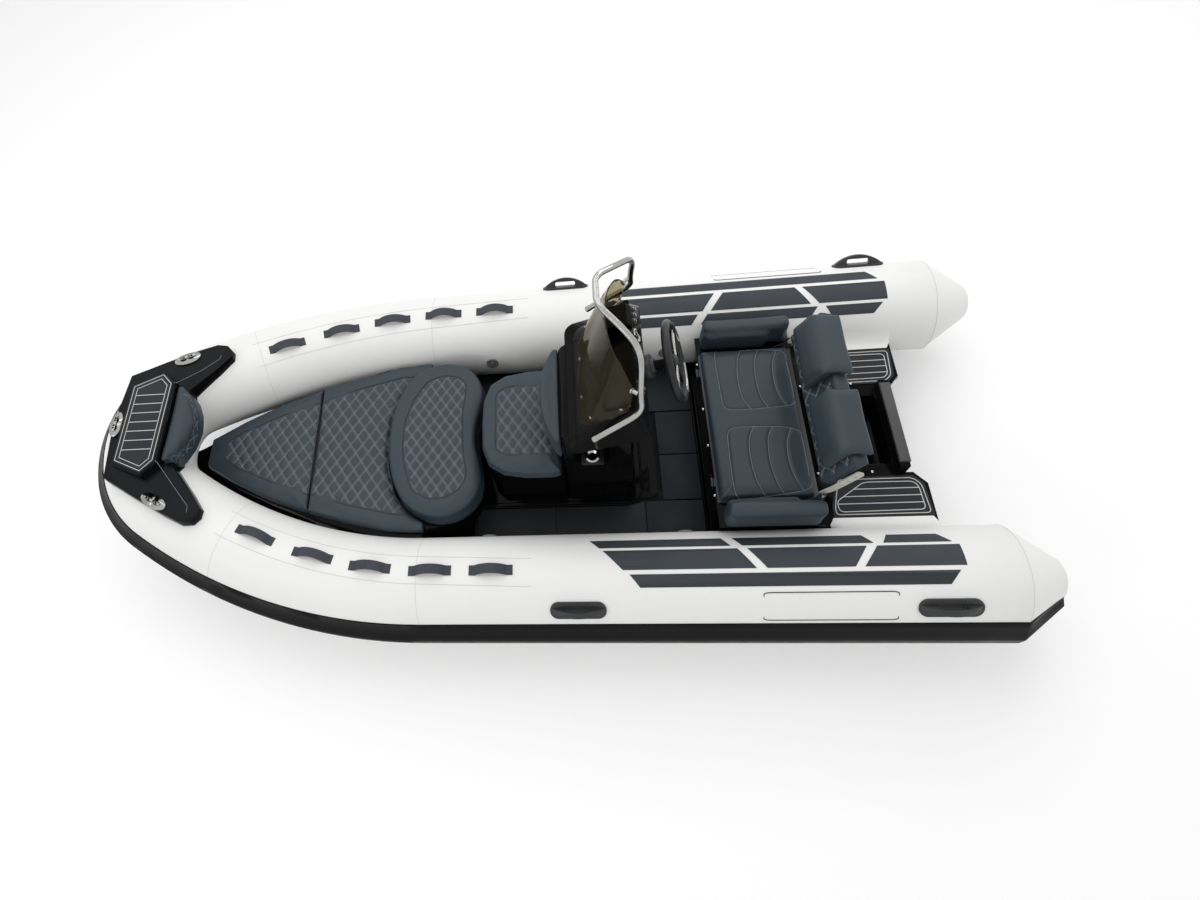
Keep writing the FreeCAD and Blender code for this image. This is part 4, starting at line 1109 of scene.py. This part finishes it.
def tubeBand(name, points, lift=0.0006, closed=True, radius=tubeSeams["bead"]):
    # a bead on the port tube through (station, phi) points, and its starboard twin
    port = lineThrough(name, [onTube(x, phi, lift)[0] for x, phi in points], radius, closed=closed,
                       resolution=1)
    return [port, mirrorCopy(port, name + "Twin")]


def patchOutline(x, phi, halfLength, halfTurn, corner=0.35, steps=6):
    # a rounded patch drawn on the tube in station and angle
    out = []
    for index, (sx, sp) in enumerate(((1, 1), (-1, 1), (-1, -1), (1, -1))):
        for step in range(steps + 1):
            a = math.radians(index * 90 + 90 * step / steps)
            out.append((x + halfLength * ((1 - corner) * sx + corner * math.cos(a)),
                        phi + halfTurn * ((1 - corner) * sp + corner * math.sin(a))))
    return out


def tubePatch(name, outline):
    # a raised welded patch: a grid on the tube with its border pressed down
    scale = math.radians(tube["radius"])
    flat = [(x, p * scale) for x, p in outline]
    bpy.ops.mesh.primitive_grid_add(x_subdivisions=22, y_subdivisions=14, size=1)
    patch = settle(bpy.context.object, name)
    lowX, highX = min(p[0] for p in flat), max(p[0] for p in flat)
    lowP, highP = min(p[1] for p in flat), max(p[1] for p in flat)
    for v in patch.data.vertices:
        x = lowX + (v.co.x + 0.5) * (highX - lowX)
        p = lowP + (v.co.y + 0.5) * (highP - lowP)
        if insideBy(x, p, flat) < 0:
            x, p = nearestOn(x, p, flat)
        rise = eased(insideBy(x, p, flat) / tubeSeams["patchRamp"] + tubeSeams["patchFoot"])
        v.co = onTube(x, p / scale, tubeSeams["lift"] * rise - tubeSeams["sink"])[0]
    editWhole(patch, (bpy.ops.mesh.remove_doubles, {"threshold": 0.0004}), outwards)
    middle = patch.data.polygons[len(patch.data.polygons) // 2]
    if middle.normal.dot(middle.center - Vector((middle.center.x, tube["y"], tube["z"]))) < 0:
        patch.data.flip_normals()
    return patch


def makeTubeSeams():
    beads = []
    for x in tubeSeams["rings"]:
        beads += tubeBand("ring", [(x, phi) for phi in range(0, 360, 6)], lift=0.0)
    # blank plate outline, where a builder's name would go
    plate = tubeSeams["plate"]
    outline = patchOutline(*plate["centre"], *plate["half"], corner=0.12)
    wear(joinPieces(tubeBand("plateLine", outline, radius=plate["bead"]), "plateOutlines"),
         "gripRubber", "tube_fabric")
    patches = [tubePatch("strapPatch", patchOutline(x, phi, *tubeSeams["strapPatch"]))
               for x, phi in tubeSeams["strapStations"]]
    for x in tubeSeams["handleStations"]:
        outline = patchOutline(x, tubeSeams["handlePhi"], *tubeSeams["handlePatch"], corner=0.9)
        patches.append(tubePatch("handlePatch", outline))
    # long doubler under the straps
    for name, (phi, slope) in tubeSeams["doublers"].items():
        line = [(k * tubeSeams["doublerStep"], phi + slope * k) for k in range(31)]
        beads += tubeBand(name, line, closed=False)
    wearPair(joinPieces(patches, "tubePatchesPort"), "tubePatches", "tubeCloth", "tube_fabric")
    wear(joinPieces(beads, "tubeSeamLines"), "tubeSeamTape", "tube_fabric")


makeTubeSeams()
print("tube seams and patches laid")

# steering wheel: thick grip, pressed spokes and a plain centre cap; turn 0 points down it, 90 to port

wheelSpec = {
    "centre": (-0.670, 0.0, 1.090), "tilt": 17.0, "radius": 0.165, "grip": 0.0175, "seam": 0.0011,
    "inlays": ((64, 116), (244, 296), (-26, 26)), "inlayRadius": 0.0095, "inlayLift": 0.0105,
    "spokeTurns": (90, 270, 0), "spoke": ((0.026, 0.006, 0.6), (0.085, 0.002, 1.0), (0.150, 0.004, 1.5)),
    "spokeAside": 0.009, "spokeRadius": 0.0052, "cap": 0.030, "capFlat": 0.42,
}


def wheelSpot(turn, radius, lift=0.0):
    tilt = math.radians(wheelSpec["tilt"])
    axis = Vector((math.cos(tilt), 0, -math.sin(tilt)))
    down = Vector((-math.sin(tilt), 0, -math.cos(tilt)))
    a = math.radians(turn)
    return Vector(wheelSpec["centre"]) + (down * math.cos(a) + Vector((0, 1, 0)) * math.sin(a)) * radius \
        - axis * lift


def wheelArc(name, turns, radius, lift, thick, closed, resolution):
    return lineThrough(name, [wheelSpot(t, radius, lift) for t in turns], thick, closed=closed,
                       resolution=resolution)


def makeWheel():
    radius, thick = wheelSpec["radius"], wheelSpec["grip"]
    wear(wheelArc("wheelRimGrip", range(0, 360, 4), radius, 0.0, thick, True, 6),
         "wheelGrip", "black_plastic", "wheel")
    wear(wheelArc("wheelGripSeam", range(0, 360, 5), radius - thick, 0.0, wheelSpec["seam"], True, 1),
         "pipingVinyl", "black_plastic", "wheel")
    bright = [wheelArc("rimInlay", range(start, stop + 1, 4), radius - 0.002, wheelSpec["inlayLift"],
                       wheelSpec["inlayRadius"], False, 4) for start, stop in wheelSpec["inlays"]]
    for turn in wheelSpec["spokeTurns"]:
        across = wheelSpot(turn + 90, 1) - wheelSpot(0, 0)
        for side in (-wheelSpec["spokeAside"], wheelSpec["spokeAside"]):
            line = [wheelSpot(turn, out, lift) + across * side * share
                    for out, lift, share in wheelSpec["spoke"]]
            bright.append(lineThrough("spoke", line, wheelSpec["spokeRadius"], bent=True))
    wear(joinPieces(bright, "wheelBrightwork"), "stainless", "stainless", "wheel")
    bpy.ops.mesh.primitive_uv_sphere_add(segments=32, ring_count=16, radius=wheelSpec["cap"],
                                         location=wheelSpot(0, 0, 0.004), scale=(1, 1, wheelSpec["capFlat"]))
    cap = bpy.context.object
    cap.rotation_euler = (0, math.radians(-90 + wheelSpec["tilt"]), 0)
    wear(settle(cap, "wheelCentreCap"), "blackPlastic", "black_plastic", "wheel")


makeWheel()
print("wheel dressed")

# small fittings: screws, caps, studs, valves and dials, each a turned disc

fittings = {
    "screenScrews": ((-0.289, 0.238, 1.066), (-0.441, 0.269, 1.186), (-0.267, 0.080, 1.000)),
    "screw": (0.0075, 0.003), "screwAside": 0.02, "screenOut": (0.4, 1.0, 0.2),
    "pairs": (("pivotCap", (-1.307, 0.4175, 0.545), (0, 1, 0), 0.009, 0.004, 20),
              ("benchCatch", (-0.866, 0.10, 0.44), (1, 0, 0), 0.009, 0.006, 20),
              ("benchCatch", (-0.866, 0.36, 0.44), (1, 0, 0), 0.009, 0.006, 20),
              ("deckStud", (-1.60, 0.239, 0.372), (0, 0, 1), 0.006, 0.002, 14),
              ("deckStud", (-1.36, 0.239, 0.372), (0, 0, 1), 0.006, 0.002, 14)),
    "filler": ((-0.304, 0.213, 0.6205), (0, 0.12, 1), 0.034, 0.010),
    "valves": {"stations": (0.22, -0.72), "phi": -78.0, "rim": (0.034, 0.006), "core": (0.013, 0.007)},
}
helmTrim = {
    "level": 1.108, "x": -0.520, "facing": (-0.891, 0.0, 0.454), "dials": (0.128, -0.128),
    "switches": (-0.205, -0.237, -0.269), "bezel": (0.034, 0.006), "dial": (0.0235, 0.0042),
    "collar": (0.0125, 0.003), "switch": (0.0090, 0.005), "switchOut": 0.002, "marksOut": 0.0046,
    "ticks": (0.0165, 0.0205), "tickTurns": (-120, 121, 30), "tickWidth": 0.0006,
    "needle": 0.018, "needleWay": (0.6, 0.5), "needleWidth": 0.0008,
}
buttonForm = {"shoulder": 0.22, "wellRim": 0.30, "wellDepth": 0.8}


def button(name, spot, normal, radius, height, dome=0.4, segments=20, hollow=False):
    # a turned disc with a rounded shoulder, standing on a surface
    bpy.ops.mesh.primitive_cylinder_add(vertices=segments, radius=radius, depth=height)
    disc = settle(bpy.context.object, name)
    editing(disc)
    selectWhere(disc, "FACE", lambda f: f.normal.z > 0.9)
    bpy.ops.mesh.inset(thickness=radius * buttonForm["shoulder"])
    bpy.ops.transform.translate(value=(0, 0, height * dome))
    if hollow:
        bpy.ops.mesh.inset(thickness=radius * buttonForm["wellRim"])
        bpy.ops.transform.translate(value=(0, 0, -height * buttonForm["wellDepth"]))
    doneEditing()
    turn = Vector(normal).to_track_quat("Z", "Y").to_matrix().to_4x4()
    disc.data.transform(Matrix.Translation(Vector(spot) + Vector(normal).normalized() * height / 2) @ turn)
    return disc


def makeFittings():
    screws = []
    screen = surfaceOf(nodes["windscreen"])
    aside, outward = fittings["screwAside"], Vector(fittings["screenOut"])
    for x, y, z in fittings["screenScrews"]:
        for side in (1, -1):
            where, normal = screen.find_nearest(Vector((x + aside, side * (y + aside), z)))[:2]
            if normal.dot(outward * Vector((1, side, 1))) < 0:
                normal = -normal
            screws.append(button("screenScrew", where, normal, *fittings["screw"], segments=16))
    for side in (1, -1):
        for label, (x, y, z), (nx, ny, nz), radius, height, segments in fittings["pairs"]:
            screws.append(button(label, (x, side * y, z), (nx, side * ny, nz), radius, height,
                                 segments=segments))
    screws.append(button("fillerCap", *fittings["filler"], dome=0.5, segments=36, hollow=True))
    wear(joinPieces(screws, "brightFittings"), "stainless", "stainless")

    # valves on the inner faces of the tubes
    spec = fittings["valves"]
    valves = []
    for x in spec["stations"]:
        spot, radial = onTube(x, spec["phi"])
        valves.append(button("valve", spot, radial, *spec["rim"], dome=0.3, segments=28, hollow=True))
        valves.append(button("valveCore", spot, radial, *spec["core"], dome=0.3))
    wearPair(joinPieces(valves, "valvesPort"), "valves", "valveGrey", "black_plastic")


def makeHelmTrim():
    # blank gauges and push switches on the sloping face behind the wheel
    dash = surfaceOf(nodes["console_cowl"])
    facing = Vector(helmTrim["facing"]).normalized()
    port = Vector((0, 1, 0))
    up = facing.cross(port).normalized()
    up = up if up.z > 0 else -up
    bright, dark, marks = [], [], []

    def dashSpot(y):
        return landOn(dash, Vector((helmTrim["x"], y, helmTrim["level"])), aim=(1, 0, 0))[0]

    for y in helmTrim["dials"]:
        spot = dashSpot(y)
        bright.append(button("bezel", spot, facing, *helmTrim["bezel"], segments=36, hollow=True))
        dark.append(button("dial", spot, facing, *helmTrim["dial"], dome=0.05, segments=32))
        over = spot + facing * helmTrim["marksOut"]
        for degrees in range(*helmTrim["tickTurns"]):
            turn = math.radians(degrees)
            way = port * math.sin(turn) + up * math.cos(turn)
            marks.append(lineThrough("tick", [over + way * out for out in helmTrim["ticks"]],
                                     helmTrim["tickWidth"], resolution=1))
        across, rise = helmTrim["needleWay"]
        marks.append(lineThrough("needle", [over, over - (port * across + up * rise) * helmTrim["needle"]],
                                 helmTrim["needleWidth"], resolution=1))
    for y in helmTrim["switches"]:
        spot = dashSpot(y)
        bright.append(button("collar", spot, facing, *helmTrim["collar"], dome=0.3, segments=24))
        dark.append(button("switch", spot + facing * helmTrim["switchOut"], facing, *helmTrim["switch"],
                           segments=24))
    wear(joinPieces(bright, "helmBezels"), "stainless", "stainless")
    wear(joinPieces(dark, "helmDials"), "dialFace", "black_plastic")
    wear(joinPieces(marks, "helmMarks"), "inlayWhite", "black_plastic")


makeFittings()
makeHelmTrim()
print("small fittings placed")

# windscreen rail: one bent tube with its feet and the clips on the screen

railSpec = {
    "radius": 0.0125,
    "half": [(-0.318, 0.330, 1.051), (-0.410, 0.321, 1.141), (-0.508, 0.309, 1.234), (-0.497, 0.288, 1.320),
             (-0.503, 0.219, 1.536), (-0.430, 0.140, 1.592), (-0.347, 0.066, 1.636), (-0.347, 0.0, 1.633)],
    "footWay": (0.718, 0.07, -0.692), "footReach": (-0.016, 0.005), "footRadius": 0.0138,
    "clip": (-0.470, 0.262, 1.320), "clipRadius": 0.0085, "clipHead": (0.0125, 0.006),
}


def makeRail():
    half = railSpec["half"]
    route = half + [(x, -y, z) for x, y, z in reversed(half[:-1])]
    rail = lineThrough("screenRail", route, railSpec["radius"], bent=True, resolution=6)
    parts = [rail]
    on = surfaceOf(rail)
    for side in (1, -1):
        mirror = Vector((1, side, 1))
        foot, way, clip = (Vector(spot) * mirror for spot in (half[0], railSpec["footWay"], railSpec["clip"]))
        parts.append(lineThrough("footSleeve", [foot + way * reach for reach in railSpec["footReach"]],
                                 railSpec["footRadius"], resolution=5))
        near = on.find_nearest(clip)[0]
        parts.append(lineThrough("clip", [clip, near], railSpec["clipRadius"], resolution=4))
        parts.append(button("clipHead", clip, (clip - near).normalized(), *railSpec["clipHead"]))
    wear(joinPieces(parts, "windscreenRail"), "stainless", "stainless", "boat", ("windscreen_rail",))


makeRail()
print("rail bent")

# cranked brackets that carry the backrest, drawn along the lean (u) and across it (v)

bracketSpec = {
    "pivot": (-1.307, 0.545), "lean": 25.0, "low": 0.400, "high": 0.4046, "pin": 0.424, "pinRadius": 0.005,
    "outline": [(-0.014, 0.000), (-0.010, -0.014), (0.022, -0.030), (0.060, -0.036), (0.222, -0.036),
                (0.240, -0.020), (0.240, -0.006), (0.226, 0.009), (0.066, 0.009), (0.024, 0.014),
                (0.002, 0.015), (-0.010, 0.010)],
    "holes": [(0.100, -0.014), (0.148, -0.014), (0.196, -0.014)], "hole": 0.0068,
    "pad": ((-0.055, 0.3925, -0.011), (0.055, 0.4005, 0.011)), "padAt": (0.175, -0.009), "padEdge": 0.002,
}


def leaned(u, v):
    a = math.radians(bracketSpec["lean"])
    x, z = bracketSpec["pivot"]
    return x - math.sin(a) * u + math.cos(a) * v, z + math.cos(a) * u + math.sin(a) * v


def makeBrackets():
    low, high = bracketSpec["low"], bracketSpec["high"]
    curve = bpy.data.curves.new("bracketPlate", "CURVE")
    curve.dimensions = "2D"
    curve.fill_mode = "BOTH"
    curve.extrude = (high - low) / 2
    rings = [roundedOutline(bracketSpec["outline"], 0.008, 3)]
    for u, v in bracketSpec["holes"]:
        rings.append([(u + bracketSpec["hole"] * math.cos(k * math.pi / 9),
                       v + bracketSpec["hole"] * math.sin(k * math.pi / 9)) for k in range(18)])
    for ring in rings:
        addSpline(curve, "POLY", [(u, v, 0.0) for u, v in ring], True)
    plate = asMesh("bracketPlate", curve)
    editWhole(plate, (bpy.ops.mesh.remove_doubles, {"threshold": 0.00002}))
    for v in plate.data.vertices:
        x, z = leaned(v.co.x, v.co.y)
        v.co = Vector((x, (high + low) / 2 + v.co.z, z))
    editWhole(plate, outwards)
    x, z = bracketSpec["pivot"]
    pin = lineThrough("pivotPin", [(x, low - 0.001, z), (x, bracketSpec["pin"], z)], bracketSpec["pinRadius"],
                      resolution=5)
    padX, padZ = leaned(*bracketSpec["padAt"])
    pad = roundedBlock("bracketPad", *bracketSpec["pad"], bracketSpec["padEdge"], 2)
    turn = Matrix.Rotation(math.radians(90 - bracketSpec["lean"]), 4, "Y")
    pad.data.transform(Matrix.Translation((padX, 0, padZ)) @ turn)
    wearPair(joinPieces([plate, pin, pad], "backrestBracketPort"), "backrestBracket", "creamPaint",
             "bracket_alloy", body="backrest", instead=("backrest_arms",), smooth=30)


makeBrackets()

# glued cloth flap that joins the tube to the deck beside the platform pads

flapSpec = {
    "start": -1.375, "stop": -1.842, "steps": 24, "root": 0.530, "endShare": 0.55, "endRamp": 0.05,
    "section": [(0.4535, 0.3442), (0.4535, 0.3468), (0.4700, 0.3490), (0.4860, 0.3560), (0.5000, 0.3690),
                (0.5110, 0.3840), (0.5235, 0.4030), (0.5280, 0.3950), (0.5160, 0.3760), (0.5060, 0.3442)],
}


def makeFlaps():
    verts, faces = [], []
    ring, steps, root, share = (flapSpec[key] for key in ("section", "steps", "root", "endShare"))
    for index in range(steps + 1):
        t = index / steps
        x = flapSpec["start"] + (flapSpec["stop"] - flapSpec["start"]) * t
        ease = eased(min(t, 1 - t) / flapSpec["endRamp"] + 0.12)
        for y, z in ring:
            verts.append((x, root + (y - root) * (share + (1 - share) * ease), z))
    count = len(ring)
    for index in range(steps):
        for k in range(count):
            n = (k + 1) % count
            a = index * count
            faces.append((a + k, a + n, a + count + n, a + count + k))
    faces.append(tuple(range(count)))
    faces.append(tuple(reversed(range(steps * count, (steps + 1) * count))))
    wearPair(meshPiece("tubeFlapPort", verts, faces), "tubeFlap", "tubeCloth", "tube_fabric", smooth=60)


makeFlaps()
print("brackets and flaps made")

# bow backrest: smooth crescent, quilted border

bowRest = {
    "arc": [(1.791, -0.165, 0.792), (1.764, -0.142, 0.792), (1.740, -0.112, 0.779), (1.722, -0.068, 0.764),
            (1.712, -0.025, 0.752), (1.711, 0.026, 0.741), (1.719, 0.077, 0.734), (1.735, 0.118, 0.738),
            (1.754, 0.156, 0.752), (1.773, 0.180, 0.765), (1.790, 0.194, 0.780)],
    "aim": (0.80, 0.0, -0.60), "faceAim": (0.94, 0.0, -0.34), "drop": (0.004, 0, 0.050), "depth": 0.0040,
    "spread": 0.0060, "lean": 0.9, "stride": 12, "seam": 0.0021,
}


def sewBowBackrest():
    pad = soft["bowBackrest"]
    on = surfaceOf(pad)
    aim, faceAim, stride = Vector(bowRest["aim"]).normalized(), bowRest["faceAim"], bowRest["stride"]
    arc = [landOn(on, p, aim)[0] for p in curvedLine(bowRest["arc"])]
    rays = []
    for index in range(3, len(arc) - 3, stride):
        for slant in (-bowRest["lean"], bowRest["lean"]):
            far = max(0, min(len(arc) - 1, index + round(slant * stride)))
            low = arc[far] - Vector(bowRest["drop"])
            rays.append([landOn(on, arc[index].lerp(low, t / 6), faceAim)[0] for t in range(7)])
    pressSeams(pad, [arc] + rays, bowRest["depth"], bowRest["spread"])
    on = surfaceOf(pad)
    sewRows("bowBackrestStitches", rays, on, width=0.0022, pitch=0.0090, share=0.72, aim=faceAim)
    seam = [landOn(on, p, aim)[0] for p in arc]
    wear(lineThrough("bowBackrestSeam", seam, bowRest["seam"], resolution=2), "pipingVinyl", "upholstery")


sewBowBackrest()

# painted shade: a thin black film on each cleat plate stands for the shade in its wells; centre, turn, and
# where the dimpled film lies on each half

cleatWellShade = {
    "at": (((1.844, 0.414), -26.0), ((1.844, -0.414), 26.0), ((2.126, 0.0), 90.0)),
    "long": 0.040, "wide": 0.0165, "apart": 0.52, "longShare": 0.40, "wideShare": 0.80,
    "sides": 18, "rings": 3, "lift": 0.0007, "sink": -0.0004, "thick": 0.0012, "level": 0.72,
}


def makeCleatWellShade():
    on = surfaceOf(nodes["bow_cleats"])
    sides, rings = cleatWellShade["sides"], cleatWellShade["rings"]
    verts, faces = [], []
    for (cx, cy), turn in cleatWellShade["at"]:
        a = math.radians(turn)
        for half in (-1, 1):
            start = len(verts)
            for ring in range(1, rings + 1):
                lift = Vector((0, 0, cleatWellShade["lift"] if ring < rings else cleatWellShade["sink"]))
                for k in range(sides):
                    t = k * 2 * math.pi / sides
                    u = cleatWellShade["long"] * (cleatWellShade["apart"] * half
                                              + cleatWellShade["longShare"] * ring / rings * math.cos(t))
                    w = cleatWellShade["wide"] * cleatWellShade["wideShare"] * ring / rings * math.sin(t)
                    x, y = cx + u * math.cos(a) - w * math.sin(a), cy + u * math.sin(a) + w * math.cos(a)
                    where = on.ray_cast(Vector((x, y, 1.0)), Vector((0, 0, -1)))[0]
                    verts.append((where or Vector((x, y, cleatWellShade["level"]))) + lift)
            for ring in range(rings - 1):
                at = start + ring * sides
                for k in range(sides):
                    n = (k + 1) % sides
                    faces.append((at + k, at + n, at + sides + n, at + sides + k))
            faces.append(tuple(start + k for k in range(sides)))
    piece = meshPiece("cleatWellShade", verts, faces)
    editWhole(piece, (bpy.ops.mesh.solidify, {"thickness": cleatWellShade["thick"]}), outwards)
    # the film is painted shade, black on the stainless cleat
    wear(piece, "blackGelcoat", "stainless")


makeCleatWellShade()

# diamond quilting on the front of the folding backrest

backQuilt = {"low": 0.078, "high": 0.262, "face": 0.082, "edge": 0.376, "pitch": 0.074, "rise": 0.080,
             "lines": 16, "depth": 0.0035, "spread": 0.0065, "rowGap": 0.00416}


def sewBackrest():
    pad = soft["backrestPanel"]
    a = math.radians(bracketSpec["lean"])
    aim = Vector((-math.cos(a), 0, -math.sin(a)))
    low, high, steps = backQuilt["low"], backQuilt["high"], 40
    lines = []
    for index in range(-backQuilt["lines"], backQuilt["lines"] + 1):
        for way in (1, -1):
            line = []
            for step in range(steps + 1):
                u = low + (high - low) * step / steps
                y = index * backQuilt["pitch"] + way * (u - low) * backQuilt["pitch"] / backQuilt["rise"]
                if abs(y) < backQuilt["edge"]:
                    x, z = leaned(u, backQuilt["face"])
                    line.append(Vector((x, y, z)))
            if len(line) > 4:
                lines.append(line)
    on = surfaceOf(pad)
    laid = [[landOn(on, p, aim)[0] for p in line[::4]] for line in lines]
    pressSeams(pad, laid, backQuilt["depth"], backQuilt["spread"])
    rows = [[p + Vector((0, offset * backQuilt["rowGap"], 0)) for p in line]
            for line in lines for offset in (-1, 1)]
    sewRows("backrestStitches", rows, surfaceOf(pad), width=0.0021, pitch=0.0110, share=0.74, body="backrest",
            aim=aim)


sewBackrest()
print("backrest quilted")

# glossy ridges of the deck moulding: before the bench and round the console's foot

deckRidges = {"radius": 0.008, "lines": [
    [(-0.858, -0.470, 0.137), (-0.858, 0.470, 0.137)],
    [(-0.8675, -0.470, 0.205), (-0.8675, 0.470, 0.205)],
    [(0.300, 0.276, 0.139), (-0.470, 0.276, 0.139), (-0.535, 0.258, 0.139), (-0.552, 0.200, 0.139),
     (-0.552, -0.200, 0.139), (-0.535, -0.258, 0.139), (-0.470, -0.276, 0.139), (0.300, -0.276, 0.139)]]}

ridges = [lineThrough("ridge", line, deckRidges["radius"], resolution=4) for line in deckRidges["lines"]]
wear(joinPieces(ridges, "deckRidges"), "blackGelcoat", "black_gelcoat")

# bow step: satin tops, glossy flanks, and a fine stripe inside each arm

stepStripe = {"lines": [[(1.842, 0.221), (1.728, 0.333), (1.640, 0.430), (1.638, 0.474)],
                        [(1.842, -0.236), (1.733, -0.337), (1.637, -0.424), (1.634, -0.450)]],
              "radius": 0.0014, "above": 0.9, "pitch": 0.012, "lift": 0.0006}


def finishBowStep():
    step = bpy.data.objects["dressed_bow_step"]
    step.data.materials.append(paints["stepTop"])
    for face in step.data.polygons:
        if face.normal.z > 0.80:
            face.material_index = 1
    on = surfaceOf(step)
    lift = Vector((0, 0, stepStripe["lift"]))
    lines = []
    for line in stepStripe["lines"]:
        route = spaced([(x, y, stepStripe["above"]) for x, y in line], stepStripe["pitch"])
        lines.append(lineThrough("stripe", [landOn(on, spot)[0] + lift for spot in route],
                                 stepStripe["radius"], resolution=1))
    wear(joinPieces(lines, "stepStripes"), "valveGrey", "step_gelcoat")


finishBowStep()
print("bow step finished")
